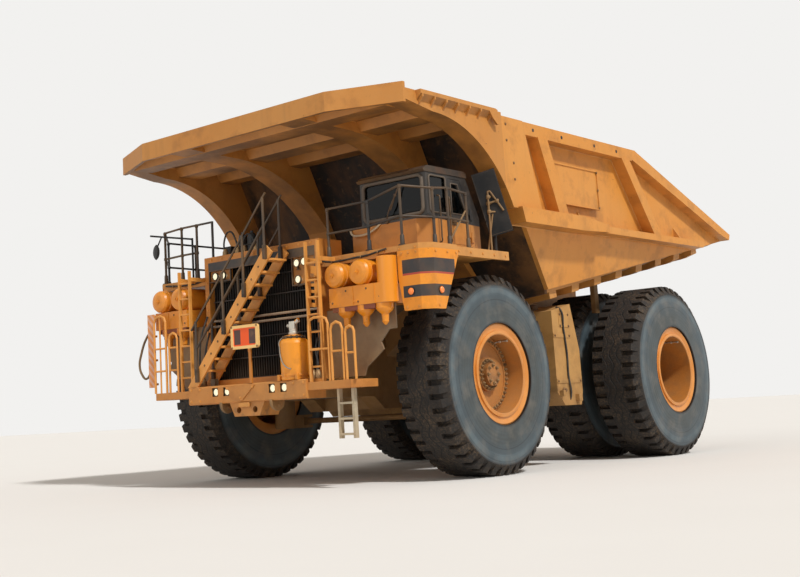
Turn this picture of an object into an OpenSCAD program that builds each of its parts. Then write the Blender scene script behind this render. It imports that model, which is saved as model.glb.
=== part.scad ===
// Rigid mining dump truck: truck's left is +X, front is -Y, ground at z = 0.
// Heights and widths are in the model's frame. Lengths along the truck are measured
// from the front axle, and the whole is moved so that its box is centred on the origin.

/* [Overall] */
// Distance between the axles
wheelbase = 5905; // [5600:5:6300]
// Front axle to the front edge of the canopy
canopy_reach = 3185; // [3100:5:3400]
// Rear axle to the tail of the bed
tail_reach = 3772; // [3400:4:4000]

/* [Tyres and wheels] */
// Outer radius of a tyre, out to the lugs' tips
tyre_r = 1740; // [1690:5:1780]
// Width of a tyre
tyre_w = 1120; // [1050:5:1140]
// Number of lugs on each shoulder of a tyre
lug_count = 46; // [40:1:48]
// Width of the gap between two lugs
lug_gap = 97; // [70:1:110]
// Depth of the gap between two lugs
lug_depth = 80; // [50:5:100]
// Radius where the lugs run out on the sidewall
shoulder_r = 1565; // [1520:5:1600]
// Half width of the flat of the tread
tread_half = 430; // [400:5:470]
// Radius of the sidewalls' curve
sidewall_r = 1750; // [1400:10:2200]
// Radius where the tyre sits on the rim
bead_r = 725; // [700:5:740]
// Outer radius of the rim's flange
flange_r = 885; // [860:5:900]
// Thickness of the rim's shell
rim_wall = 45; // [30:1:60]
// Kingpin axis to the middle of a front tyre
wheel_offset = 875; // [865:1:920]
// Distance between the middles of the rear tyre pairs
rear_track = 4963; // [4940:1:5000]
// Distance between the middles of two twin tyres
twin_pitch = 1400; // [1380:2:1440]
// Outer radius of the hub drum inside a wheel
hub_r = 500; // [420:5:560]
// Middle of a front tyre out to the face of the wheel's disc
front_disc = 190; // [150:5:220]
// Face of the rear wheel's disc in from the middle of the outer tyre
rear_disc = 180; // [120:5:240]

/* [Steering] */
// Distance between the two kingpin axes
kingpin_track = 3860; // [3800:2:3880]
// Radius of the strut housing that turns with the wheel
strut_housing_r = 205; // [170:1:215]
// Radius of the chromed strut rod
strut_rod_r = 140; // [110:1:150]
// Top of the strut housing
strut_housing_top = 2300; // [2200:5:2400]
// Length of a steering arm, kingpin to tie rod pin
steer_arm = 620; // [560:5:660]
// Radius of the tie rod
tie_rod_r = 55; // [40:1:65]
// Height of the tie rod
tie_rod_z = 1080; // [1040:5:1120]
// Radius of the tie rod's pins
tie_pin_r = 45; // [35:1:50]

/* [Frame] */
// Distance between the middles of the two rails
rail_pitch = 1500; // [1480:5:1520]
// Width of one rail
rail_w = 360; // [300:5:370]
// Height of the rails' top between the axles
rail_top = 2500; // [2450:5:2520]
// Depth of the rails between the axles
rail_h = 950; // [800:5:1000]
// Distance from the front axle to the front end of the rails
rail_nose = 2500; // [2400:5:2540]
// Rear axle to the bed's hinge pin
hinge_back = 845; // [780:5:900]
// Height of the bed's hinge pin
hinge_z = 2750; // [2730:2:2800]
// Radius of the bed's hinge pin
hinge_pin_r = 90; // [70:1:110]
// Radial play of a pin in its eye
pin_play = 0.3; // [0.1:0.1:2]

/* [Bed] */
// Outer width of the bed at its side panels
bed_w = 6680; // [6600:10:6720]
// Height of the bed's top rail
bed_top = 6340; // [6300:10:6360]
// Height of the ledge along the bed's sides
ledge_z = 4700; // [4640:10:4760]
// Depth of the ledge
ledge_h = 280; // [220:10:320]
// How far the ledge stands out from the side
ledge_out = 350; // [300:5:380]
// How far the corner posts at the front stand out from the side
post_out = 260; // [220:5:290]
// How far the ribs stand out from the side panels
rib_out = 250; // [200:5:255]
// Step back from the ribs' faces to the top rail's and from there to the tail's
rail_step = 12; // [5:1:30]
// Height of the bed's lower front corner
bed_low_z = 3330; // [3300:10:3400]
// Thickness of the bed's walls with their box ribs
bed_wall = 90; // [60:5:120]
// Thickness of the floor plate
floor_wall = 70; // [50:5:90]
// Width that the sides lean in by, from the ledge to the bottom
side_lean = 270; // [200:10:340]
// How much lower the middle of the floor lies than its edges
floor_vee = 320; // [250:10:340]
// Front axle to the top of the bed's front wall
wall_top_y = 200; // [150:10:250]
// Front axle to the knee of the front wall, where it turns under the bed
wall_knee_y = 1150; // [1100:10:1250]
// Front axle to the foot of the bed's front wall
wall_foot_y = 2200; // [2100:10:2300]
// Front axle to the end of the level top rail
rail_end_y = 5290; // [5000:10:5600]
// Depth of the box rail along the bed's top
top_rail_h = 240; // [200:10:300]
// Height of the tail's tip
tail_z = 4870; // [4800:10:4950]
// Depth of the tail's end
tail_h = 120; // [100:10:160]

/* [Canopy] */
// Height of the canopy's front edge
canopy_top = 6494; // [6480:2:6520]
// Width of the canopy over its side wings
canopy_w = 7400; // [7200:10:7440]
// Width of the canopy's straight front edge
canopy_front_w = 4700; // [4300:10:5200]
// Length of the canopy's cut corners
canopy_corner = 535; // [400:5:600]
// Height of the canopy's front lip
lip_h = 340; // [280:10:380]
// Thickness of the canopy's plate
canopy_wall = 60; // [40:5:80]
// Radius of the arch at the canopy's side
arch_r = 2487; // [2480:1:2500]
// Width of the box rib over the arch
arch_w = 400; // [300:10:420]
// Truck's centre to the middle of an inner rib
rib_x = 1430; // [1300:10:1600]
// Width of an inner rib
rib_w = 550; // [400:10:600]
// Depth of the channels across the canopy's underside
channel_h = 170; // [120:5:180]

/* [Front] */
// Height of the deck's top
deck_z = 3850; // [3800:5:3900]
// Thickness of the deck
deck_t = 90; // [60:5:120]
// Front axle to the front edge of the deck
deck_front = 2450; // [2420:5:2500]
// Height of the hood over the radiator
hood_z = 4200; // [4120:5:4260]
// Width of the radiator guard
guard_w = 2900; // [2800:10:2960]
// Height of the bumper's top
bumper_top = 1800; // [1760:5:1840]
// Height of the bumper beam
bumper_h = 320; // [260:5:360]
// Front axle to the bumper's front face
bumper_front = 3000; // [2950:5:3060]
// Outer width over both platforms beside the bumper
platform_w = 5060; // [4900:10:5120]

/* [Cab] */
// Width of the cab
cab_w = 1450; // [1420:5:1470]
// Depth of the cab
cab_d = 1520; // [1480:10:1600]
// Height of the cab over the deck
cab_h = 1450; // [1420:5:1500]
// Truck's centre to the cab's inner side
cab_x = 1700; // [1690:5:1720]
// Front axle to the cab's front
cab_front = 1600; // [1580:5:1640]
// How far the cab's rear edge leans forward from the sill to the roof
cab_rake = 345; // [250:5:360]
// Cut of the lower body's front corner
cab_chamfer = 250; // [200:5:300]
// Thickness of the cab's walls
cab_wall = 60; // [50:2:70]
// Radius of the windscreen's corners
window_r = 90; // [60:5:120]
// Thickness of the window panes
glass_t = 12; // [8:1:20]

/* [Hidden] */

// Whole length, and the front axle's place along it
total_l = canopy_reach + wheelbase + tail_reach;
front_axle_y = canopy_reach - total_l / 2;
// Weld gap between two panels that lean against each other
seam = 0.3;
// Overlap of two solids that are fused
bite = 5;
$fn = 48;

hub_z = tyre_r;
rail_in = (rail_pitch - rail_w) / 2;
rail_out = (rail_pitch + rail_w) / 2;
rail_low = rail_top - rail_h;
kingpin_x = kingpin_track / 2;
front_track = kingpin_track + 2 * wheel_offset;
hinge_y = wheelbase + hinge_back;

// The twin tyres' middles, from the truck's centre
twin_in_x = (rear_track - twin_pitch) / 2;
twin_out_x = (rear_track + twin_pitch) / 2;

// Half width of the rim over its flanges, and the flange's thickness
rim_half = tyre_w * 0.454;
flange_t = 30;
// Running gap between a tyre's bead and its rim
bead_gap = 0.3;

// Hoist cylinder: base pin and rod eye in the plane of the cylinder
hoist_x = 1080;
hoist_base_y = 4000;
hoist_base_z = 1150;
hoist_eye_y = 3900;
hoist_eye_z = 3060;
hoist_l = norm([hoist_eye_y - hoist_base_y, hoist_eye_z - hoist_base_z]);
hoist_lean = atan2(hoist_base_y - hoist_eye_y, hoist_eye_z - hoist_base_z);
hoist_r = 125;
sleeve_r = 103;
rod_r = 78;
hoist_pin_r = 55;
hoist_eye_r = 105;
rod_eye_w = 164;

// Bed: floor slope and the lean of the front wall above its knee
floor_slope = atan2(tail_z - tail_h - bed_low_z, wheelbase + tail_reach - wall_foot_y);
wall_knee_z = ledge_z - ledge_h;
wall_lean = atan2(wall_knee_y - wall_top_y, bed_top - wall_knee_z);
bed_half = bed_w / 2;
bed_in = bed_half - bed_wall;
tail_y = wheelbase + tail_reach;
bed_beam_x = rail_pitch / 2;

// Height of the floor plate's underside at a place along the truck and across it
function floor_low(y, x) = bed_low_z + (y - wall_foot_y) * tan(floor_slope)
    - floor_vee * (1 - x / (bed_in - side_lean)) / cos(floor_slope) - floor_wall / cos(floor_slope);

// Outer side of the front wall above its knee, at a height
function wall_y(z) = wall_top_y + (bed_top - z) * tan(wall_lean);

// Moves a piece that is laid out from the front axle into the model's frame
module along() translate([0, front_axle_y, 0]) children();

// The same piece on both sides of the truck
module both_sides() {
    children();
    mirror([1, 0, 0]) children();
}

// Box from one corner to the opposite corner
module span(a, b) translate(a) cube(b - a);

// Rectangle from one corner to the opposite corner
module span_plan(x0, y0, x1, y1) translate([x0, y0]) square([x1 - x0, y1 - y0]);

// Outline in Y and Z, as thick as from x0 to x1
module yz(x0, x1) translate([x0, 0, 0]) rotate([90, 0, 90]) linear_extrude(height = x1 - x0) children();

// Outline in X and Z, as deep as from y0 to y1
module xz(y0, y1) translate([0, y1, 0]) rotate([90, 0, 0]) linear_extrude(height = y1 - y0) children();

// Outline in X and Y, as high as from z0 to z1
module xy(z0, z1) translate([0, 0, z0]) linear_extrude(height = z1 - z0) children();

// Round bar from one point to another
module bar(a, b, r) {
    d = b - a;
    translate(a) rotate([0, acos(d.z / norm(d)), atan2(d.y, d.x)]) cylinder(h = norm(d), r = r);
}

// Cylinder along X from x0 to x1 round the line through y and z
module roll(x0, x1, y, z, r) translate([x0, y, z]) rotate([0, 90, 0]) cylinder(h = x1 - x0, r = r);

// Rectangle with round corners, from its lowest corner to its highest
module rounded(a, b, r) {
    translate([a.x + r, a.y]) square([b.x - a.x - 2 * r, b.y - a.y]);
    translate([a.x, a.y + r]) square([b.x - a.x, b.y - a.y - 2 * r]);
    for (x = [a.x + r, b.x - r], y = [a.y + r, b.y - r]) translate([x, y]) circle(r = r);
}

// Tube frame of a rail: two posts and a top bar with bent corners, standing on z0 in the plane y
bend_r = 120;
module tube_loop(x0, x1, y, z0, z1, r) {
    c = min(bend_r, (x1 - x0) / 2 - 5);
    over = r / 3;
    // The corner's bend: its points from the post's end to the top bar, in X and Z
    bend = [[0, -c], [c * 0.3, -c * 0.3], [c, 0]];
    for (x = [x0, x1]) bar([x, y, z0], [x, y, z1 - c + over], r);
    roll(x0 + c - over, x1 - c + over, y, z1, r);
    for (i = [0, 1], side = [[x0, 1], [x1, -1]])
        let (d = over / norm(bend[i + 1] - bend[i]) * (bend[i + 1] - bend[i]))
        bar([side[0] + side[1] * (bend[i].x - d.x), y, z1 + bend[i].y - d.y],
            [side[0] + side[1] * (bend[i + 1].x + d.x), y, z1 + bend[i + 1].y + d.y], r);
}

// A tyre's section: the radius runs along x and the width along y
module tyre_section() {
    half = tyre_w / 2;
    shoulder = half - 30;
    difference() {
        intersection() {
            translate([bead_r + bead_gap, -half]) square([tyre_r - bead_r - bead_gap, tyre_w]);
            for (s = [-1, 1])
                translate([(bead_r + tyre_r) / 2, s * (half - sidewall_r)]) circle(r = sidewall_r,
                    $fn = 160);
            polygon([[bead_r, -half], [shoulder_r, -shoulder], [tyre_r, -tread_half],
                [tyre_r, tread_half], [shoulder_r, shoulder], [bead_r, half]]);
        }
        for (s = [0, 1]) mirror([0, s])
            translate([bead_r, rim_half - flange_t - bead_gap])
                square([flange_r + bead_gap - bead_r, half]);
    }
}

// Gap between two lugs, cut down across the shoulder
module lug_cut() rotate([90, 0, 0]) linear_extrude(height = lug_gap) polygon([
    [tyre_r + 20, tyre_w * 0.18], [tyre_r - lug_depth, tyre_w * 0.2], [tyre_r - lug_depth, tread_half],
    [shoulder_r, tyre_w / 2 - 20], [shoulder_r, tyre_w], [tyre_r + 20, tyre_w]]);

// Places a wheel's section at x and y, outer side towards +x
module at_wheel(x, y) translate([x, y, hub_z]) rotate([0, 90, 0]) children();

module tyre(x, y) at_wheel(x, y) difference() {
    rotate_extrude($fn = 2 * lug_count) tyre_section();
    for (s = [0, 1], i = [0 : lug_count - 1]) mirror([0, 0, s])
        rotate([0, 0, (i + s / 2) * 360 / lug_count]) translate([0, lug_gap / 2, 0]) lug_cut();
}

// Rim shell: inner flange, barrel, outer flange and the lock ring's steps, as [radius, width]
ring_out = 22;
module rim_section() polygon([
    [bead_r - rim_wall, -rim_half], [flange_r, -rim_half], [flange_r, flange_t - rim_half],
    [bead_r, flange_t - rim_half], [bead_r, rim_half - flange_t], [flange_r, rim_half - flange_t],
    [flange_r, rim_half], [flange_r - 25, rim_half + 12], [flange_r - 95, rim_half - 16],
    [bead_r + 25, rim_half - 16], [bead_r + 20, rim_half + 12], [bead_r - 25, rim_half + ring_out],
    [bead_r - rim_wall, rim_half + 12]]);

module tyre_front_left() color("#3b434b") along() tyre(front_track / 2, 0);
module tyre_front_right() color("#3b434b") along() mirror([1, 0, 0]) tyre(front_track / 2, 0);
module twin_tyres() {
    tyre(twin_in_x, wheelbase);
    tyre(twin_out_x, wheelbase);
}
module tyres_rear_left() color("#3b434b") along() twin_tyres();
module tyres_rear_right() color("#3b434b") along() mirror([1, 0, 0]) twin_tyres();

// Spindle of a front wheel, and how far it reaches into the hub
spindle_r = 240;
spindle_end = front_track / 2 + 60;
brake_r = 395;
brake_x = front_track / 2 - tyre_w / 2 - 60;

// Front wheel: rim, disc, hub round the spindle and the boss in the middle
module front_wheel() {
    x = front_track / 2;
    disc_t = 60;
    inside = bead_r - rim_wall / 2;
    difference() {
        at_wheel(x, 0) rotate_extrude($fn = 96) {
            rim_section();
            // Disc with its raised bolt ring
            translate([hub_r - 60, front_disc - disc_t]) square([inside - hub_r + 60, disc_t]);
            translate([hub_r + 50, front_disc - bite]) square([110, 18 + bite]);
            translate([hub_r - 90, -rim_half + 60]) square([90, rim_half + front_disc - 60]);
            translate([0, front_disc - 120]) square([hub_r, 120]);
            translate([0, front_disc - bite]) square([290, 70]);
            translate([0, front_disc]) square([200, 160]);
            translate([spindle_r + pin_play, -rim_half + 140]) square([110, rim_half + front_disc - 240]);
        }
        roll(x - rim_half, spindle_end + 10, 0, hub_z, spindle_r + pin_play);
    }
}
module wheel_front_left() color("#d9902f") along() front_wheel();
module wheel_front_right() color("#d9902f") along() mirror([1, 0, 0]) front_wheel();

// Rear axle's tube and how far it reaches into the wheels' drum
axle_tube_r = 330;
axle_end = twin_out_x - 260;

// Twin rear wheels: two rims carried by one drum, closed by a flat disc
module rear_wheel() {
    drum_in = twin_in_x - 380;
    face_x = twin_out_x - rear_disc;
    inside = bead_r - rim_wall / 2;
    difference() {
        union() {
            for (x = [twin_in_x, twin_out_x]) at_wheel(x, wheelbase) rotate_extrude($fn = 96) rim_section();
            at_wheel(0, wheelbase) rotate_extrude($fn = 96) {
                translate([hub_r - bite, twin_in_x - 120]) square([inside - hub_r + bite, 60]);
                translate([0, face_x - 120]) square([inside, 120]);
                translate([0, face_x - bite]) square([hub_r + 60, 24 + bite]);
                translate([0, face_x]) square([170, 60]);
            }
            roll(drum_in, face_x - 60, wheelbase, hub_z, hub_r, $fn = 96);
        }
        roll(drum_in - 10, axle_end + 10, wheelbase, hub_z, axle_tube_r + pin_play, $fn = 96);
    }
}
module wheels_rear_left() color("#d9902f") along() rear_wheel();
module wheels_rear_right() color("#d9902f") along() mirror([1, 0, 0]) rear_wheel();

// Top of the cross member that carries the engine
cradle_z = 1490;
// Ball joint that holds the rear axle's frame: place, height and radius
drawbar_y = 4460;
drawbar_z = 1400;
drawbar_r = 150;

// Frame: side outline of a rail, from the nose to the tail
module rail_outline() polygon([
    [-rail_nose, 1500], [-rail_nose, bumper_top - seam], [-1850, bumper_top - seam],
    [-900, 2100], [-500, rail_top],
    [hinge_y - 600, rail_top], [hinge_y + 250, hinge_z - 205], [hinge_y + 250, hinge_z - 420],
    [wheelbase - 650, 2260], [wheelbase - 1150, rail_low],
    [500, rail_low], [320, cradle_z - 240], [-320, cradle_z - 240], [-600, 1480]]);

// Heights along x of the tower that carries a front strut
strut_top_z = 3150;
strut_seat_z = strut_top_z - 330;
module strut_tower() xz(-185, 185) polygon([
    [rail_in, rail_top - 300], [rail_out, rail_top - 300], [kingpin_x - 180, strut_seat_z],
    [kingpin_x + 165, strut_seat_z],
    [kingpin_x + 165, strut_top_z], [kingpin_x - 250, strut_top_z], [rail_in, rail_top + 150]]);

module hinge_ear(x0, x1) {
    roll(x0, x1, hinge_y, hinge_z, 180);
    span([x0, hinge_y - 180, rail_top - 60], [x1, hinge_y + 180, hinge_z]);
}

// Half gap between a bed beam and a hinge ear, and the ear's thickness
ear_gap = 8;
ear_t = 60;
beam_w = 240;

module rail_side() {
    yz(rail_in, rail_out) rail_outline();
    strut_tower();
    for (x = [bed_beam_x - beam_w / 2 - ear_gap - ear_t, bed_beam_x + beam_w / 2 + ear_gap])
        hinge_ear(x, x + ear_t);
    roll(bed_beam_x - beam_w / 2 - ear_gap - ear_t, bed_beam_x + beam_w / 2 + ear_gap + ear_t,
        hinge_y, hinge_z, hinge_pin_r);
    // Hanger and pin of the hoist cylinder
    span([rail_out - 200, hoist_base_y - 170, hoist_base_z - 120],
        [rail_out, hoist_base_y + 170, rail_low + 50]);
    roll(rail_out - 20, hoist_x + hoist_r, hoist_base_y, hoist_base_z, hoist_pin_r);
    // Outriggers under the deck and for the side tanks
    span([rail_out - bite, tank_y0 + 250, 1750], [tank_x0 - seam, tank_y0 + 450, 2100]);
    span([rail_out - bite, tank_y1 - 500, 1750], [tank_x0 - seam, tank_y1 - 300, 2100]);
}

cross_members = [
    // y front, y rear, z bottom, z top
    [-rail_nose, -rail_nose + 200, 1500, 1780],
    [-300, 300, cradle_z - 240, cradle_z],
    [2300, 2600, 2100, 2450],
    [4150, 4450, 2000, 2400],
    [drawbar_y - 380, drawbar_y - drawbar_r - seam, 1300, 1620],
    [hinge_y - 450, hinge_y + 200, 2360, 2520]];

module frame_rails() color("#c98a2c") along() {
    both_sides() rail_side();
    for (m = cross_members)
        span([-rail_in - bite, m[0], m[2]], [rail_in + bite, m[1], m[3]]);
}

// Side tanks between the front and rear wheels, their rear edge cut back towards the top
tank_x0 = 1280;
tank_x1 = 2980;
tank_y0 = 2380;
tank_y1 = 3310;
tank_z0 = 1130;
tank_z1 = 3085;
module tank_outline() polygon([
    [tank_y0, tank_z0 + 250], [tank_y0, tank_z1 - 150], [tank_y1 - 230, tank_z1], [tank_y1, tank_z1 - 900],
    [tank_y1, tank_z0 + 250], [tank_y1 - 80, tank_z0], [tank_y0 + 250, tank_z0]]);
module side_tanks() color("#a87a35") along() both_sides() yz(tank_x0, tank_x1) tank_outline();

// Front struts: the rod and its head, held in the frame's tower
module front_struts() color("#8d8f90") along() both_sides() {
    translate([kingpin_x, 0, strut_housing_top - 180])
        cylinder(h = strut_seat_z - seam - strut_housing_top + 180, r = strut_rod_r);
}

// Knuckle: strut housing, spindle, brake and steering arm
module knuckle() {
    difference() {
        union() {
            translate([kingpin_x, 0, 950]) cylinder(h = strut_housing_top - 950, r = strut_housing_r);
            roll(kingpin_x, brake_x + 120, 0, hub_z, 330);
            roll(brake_x, brake_x + 240, 0, hub_z, brake_r);
            roll(kingpin_x, spindle_end, 0, hub_z, spindle_r);
            difference() {
                xy(tie_rod_z - 130, tie_rod_z + 130) polygon([
                    [kingpin_x - 170, 0], [kingpin_x + 170, 0],
                    [kingpin_x + 90, steer_arm + 90], [kingpin_x - 90, steer_arm + 90]]);
                span([kingpin_x - 400, steer_arm - 200, tie_rod_z - 80],
                    [kingpin_x + 400, steer_arm + 200, tie_rod_z + 80]);
            }
            translate([kingpin_x, steer_arm, tie_rod_z - 130]) cylinder(h = 260, r = tie_pin_r);
        }
        translate([kingpin_x, 0, strut_housing_top - 200]) cylinder(h = 300, r = strut_rod_r + pin_play);
    }
}
module knuckle_left() color("#7f6a45") along() knuckle();
module knuckle_right() color("#7f6a45") along() mirror([1, 0, 0]) knuckle();

// Tie rod between the two steering arms
module tie_rod() color("#6c6250") along() {
    x = kingpin_x;
    difference() {
        union() {
            roll(-x + 60, x - 60, steer_arm, tie_rod_z, tie_rod_r);
            for (s = [-1, 1]) translate([s * x, steer_arm, tie_rod_z - 70]) cylinder(h = 140, r = 90);
        }
        for (s = [-1, 1])
            translate([s * x, steer_arm, tie_rod_z - 100]) cylinder(h = 200, r = tie_pin_r + pin_play);
    }
}

// Rear axle: housing, tubes, and the frame that holds it forward
housing_r = 560;
rear_pad_z = 1750;
module rear_axle() color("#8a6a34") along() {
    // Housing revolved round the axle: radius, then place along the axle
    at_wheel(0, wheelbase) rotate_extrude($fn = 96) polygon([
        [0, -axle_end], [axle_tube_r, -axle_end], [axle_tube_r, -760], [housing_r, -330], [housing_r, 330],
        [axle_tube_r, 760], [axle_tube_r, axle_end], [0, axle_end]]);
    both_sides() {
        bar([620, wheelbase - 200, 1520], [90, drawbar_y, drawbar_z], 120);
        span([180, wheelbase + 250, rear_pad_z - 170], [480, wheelbase + 840, rear_pad_z - seam]);
    }
    roll(-150, 150, drawbar_y, drawbar_z, drawbar_r);
}

module rear_struts() color("#8d8f90") along() both_sides() {
    translate([330, wheelbase + 700, rear_pad_z]) cylinder(h = 2360 - seam - rear_pad_z, r = 120);
}

module drive_shaft() color("#5c564c") along() {
    translate([0, engine_y1 + seam, 1740]) rotate([-90, 0, 0]) cylinder(h = 1000, r = 90);
    translate([0, engine_y1 + 990, 1740]) rotate([-90, 0, 0]) cylinder(h = 1350, r = 300);
    translate([0, engine_y1 + 2330, 1740]) rotate([-90, 0, 0])
        cylinder(h = wheelbase - housing_r - seam - engine_y1 - 2330, r = 100);
}

engine_y0 = -1700;
engine_y1 = 1250;
module engine_block() color("#6b6658") along()
    span([-rail_in + 10, engine_y0, cradle_z + seam], [rail_in - 10, engine_y1, 3300]);

// Radiator with the fine bars of its grille, standing on the bumper between the guard's posts
guard_front = 2500;
guard_t = 110;
fin_count = 44;
grille_y = -2400;
module radiator_core() color("#2a2724") along() {
    x = guard_w / 2 - guard_t - seam;
    z0 = bumper_top + guard_t + seam;
    z1 = hood_z - guard_t - seam;
    span([-x, -2280, z0], [x, -1950, z1]);
    for (i = [0 : fin_count]) let (p = -x + 6 + (2 * x - 12) * i / fin_count)
        span([p - 6, grille_y + 30, z0], [p + 6, -2280 + bite, z1]);
    for (z = [z0 : (z1 - z0 - 20) / 6 : z1])
        span([-x, grille_y, z], [x, grille_y + 30 + bite, z + 20]);
}

// Radiator guard: side posts, hood, bottom bar, cross tubes and the panels that carry lamps
lamp_panels = [
    // x from, x to, z from, z to
    [-1345, -760, hood_z - 480, hood_z - 250],
    [780, 1345, hood_z - 760, hood_z - 250]];
module radiator_guard() color("#d98f2b") along() {
    g = guard_w / 2;
    difference() {
        span([-g, -guard_front, bumper_top], [g, -1900, hood_z]);
        span([-g + guard_t, -guard_front - 10, bumper_top + guard_t],
            [g - guard_t, -1890, hood_z - guard_t]);
    }
    // Band across the top
    span([-g + guard_t - bite, -guard_front, hood_z - 270], [g - guard_t + bite, -guard_front + 40,
        hood_z - 100]);
    for (z = [2900, 3000]) roll(-g + 100, g - 100, -guard_front + 45, z, 22);
    for (p = lamp_panels) span([p[0], -guard_front + 40, p[2]], [p[1], -guard_front + 60, p[3]]);
    // Frame round the lamps
    for (p = lamp_panels, x = [p[0], p[1] - 20]) span([x, -guard_front, p[2]],
        [x + 20, -guard_front + 50, p[3]]);
    for (p = lamp_panels) span([p[0], -guard_front, p[2]], [p[1], -guard_front + 50, p[2] + 20]);
}

// Places of the lamps in the bumper, and the pocket round each
bumper_lamps = [-759, -471, 654, 929];
bumper_lamp_z = bumper_top - 115;
pocket = 75;
pocket_depth = 90;

// Bumper beam with its lamp pockets, vee plate, tow boss and the platform on each side
module front_bumper() color("#d98f2b") along() {
    g = guard_w / 2;
    low = bumper_top - bumper_h;
    difference() {
        union() {
            yz(-g, g) polygon([[-bumper_front, low + 20], [-bumper_front + 25, low],
                [-rail_nose - seam, low],
                [-rail_nose - seam, bumper_top - seam], [-bumper_front + 25, bumper_top - seam],
                [-bumper_front, bumper_top - 25]]);
            xz(-bumper_front - 18, -bumper_front + bite) polygon([
                [-490, bumper_top - 30], [260, bumper_top - 30], [-60, low + 35], [-140, low + 35]]);
            xz(-bumper_front + 40, -rail_nose - seam) polygon([
                [-tow_x - 240, low + 20], [tow_x + 240, low + 20],
                    [tow_x + 110, low - tow_drop - tow_r * 2],
                [-tow_x - 110, low - tow_drop - tow_r * 2]]);
            both_sides() xy(bumper_top - 190, bumper_top - 60) polygon([
                [g - bite, -bumper_front + 40], [platform_w / 2 - 120, -bumper_front + 40],
                [platform_w / 2, -bumper_front + 160], [platform_w / 2, -2420], [g - bite, -2420]]);
        }
        for (x = [-tow_x, tow_x]) tow_bore(x);
        for (x = bumper_lamps)
            span([x - pocket, -bumper_front - 10, bumper_lamp_z - pocket],
                [x + pocket, -bumper_front + pocket_depth, bumper_lamp_z + pocket]);
    }
}
tow_r = 55;
tow_x = 200;
tow_drop = 130;
module tow_bore(x) translate([x, -bumper_front - 1, bumper_top - bumper_h - tow_drop]) rotate([-90, 0, 0])
    cylinder(h = bumper_front - rail_nose + 2, r = tow_r);

// Deck plates beside the hood, with their front edge turned down. The left one carries the
// cab and is wide over its fender, the right one has its front corner cut off.
deck_x0 = guard_w / 2 + seam;
deck_x1 = 3600;
deck_y1 = 100;
fender_x1 = 3720;
fender_cut = 170;
right_corner_x = 2730;
right_corner_in = right_corner_x - 40;
right_corner_y = -1600;
deck_edge = 150;
module left_deck_plan() polygon([
    [deck_x0, -deck_front], [fender_x1 - fender_cut, -deck_front], [fender_x1, -deck_front + fender_cut],
    [fender_x1, -1620], [deck_x1, -1500], [deck_x1, deck_y1], [deck_x0, deck_y1]]);
module right_deck_plan() polygon([
    [deck_x0, -deck_front], [right_corner_x, -deck_front], [deck_x1, right_corner_y],
    [deck_x1, deck_y1], [deck_x0, deck_y1]]);
module deck_trim() {
    span([deck_x0, -deck_front, deck_z - deck_edge], [right_corner_in, -deck_front + 60,
        deck_z - deck_t + bite]);
    span([deck_x1 - 60, -1500, deck_z - deck_edge], [deck_x1, deck_y1, deck_z - deck_t + bite]);
    // Support down to the frame's tower
    span([deck_x0 + 100, -100, strut_top_z + seam], [deck_x0 + 400, 100, deck_z - deck_t + bite]);
}
module front_deck() color("#b9832f") along() {
    xy(deck_z - deck_t, deck_z) left_deck_plan();
    mirror([1, 0, 0]) xy(deck_z - deck_t, deck_z) right_deck_plan();
    both_sides() deck_trim();
}

// Fenders under the deck's outer corners: the left one has a front and a side face, cut up
// towards the rear, and the right one follows the cut corner
fender_x0 = 3110;
fender_low_z = 2780;
fender_t = 60;
module left_fender() {
    z1 = deck_z - deck_t - seam;
    y0 = -deck_front;
    x1 = fender_x1;
    c = fender_cut;
    difference() {
        xy(fender_low_z, z1) polygon([
            [fender_x0, y0], [x1 - c, y0], [x1, y0 + c], [x1, -1600], [x1 - fender_t, -1600],
            [x1 - fender_t, y0 + c + 25], [x1 - c - 25, y0 + fender_t], [fender_x0, y0 + fender_t]]);
        // Rear edge of the side face, and the inner edge of the front face
        yz(x1 - 200, x1 + 100) polygon([
            [-2040, fender_low_z - 10], [-1500, fender_low_z - 10], [-1500, z1 - 120], [-1620, z1 - 120]]);
        xz(y0 - 10, y0 + fender_t + 10) polygon([
            [fender_x0 - 10, fender_low_z - 10], [fender_x0 + 90, fender_low_z - 10],
                [fender_x0 - 10, z1 - 400]]);
    }
}
module right_fender() xy(fender_low_z, deck_z - deck_t - seam) polygon([
    [right_corner_x, -deck_front + bite], [deck_x1, right_corner_y], [deck_x1, right_corner_y + 85],
    [right_corner_x - 20, -deck_front + 70]]);
module fenders() color("#d98f2b") along() {
    left_fender();
    mirror([1, 0, 0]) right_fender();
}

left_posts = [
    // x, y, height over the deck
    [1600, -2400, 860], [2500, -2400, 860], [3200, -2400, 1020], [3500, -1910, 980],
    [3500, -1500, 1020], [3500, -960, 980]];
right_posts = [
    // x to the right, y, height over the deck
    [1770, -2380, 1060], [2200, -2380, 1060], [2690, -2380, 1030], [3540, -1560, 1000],
    [3560, -800, 1000], [3560, 60, 1000]];
post_r = 24;
rail_r = 20;
module rail_run(posts) {
    for (p = posts) translate([p.x, p.y, deck_z + seam]) cylinder(h = p.z, r = post_r);
    for (i = [0 : len(posts) - 2], k = [0.5, 1]) let (a = posts[i], b = posts[i + 1])
        bar([a.x, a.y, deck_z + k * a.z - rail_r], [b.x, b.y, deck_z + k * b.z - rail_r], rail_r);
}

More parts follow.
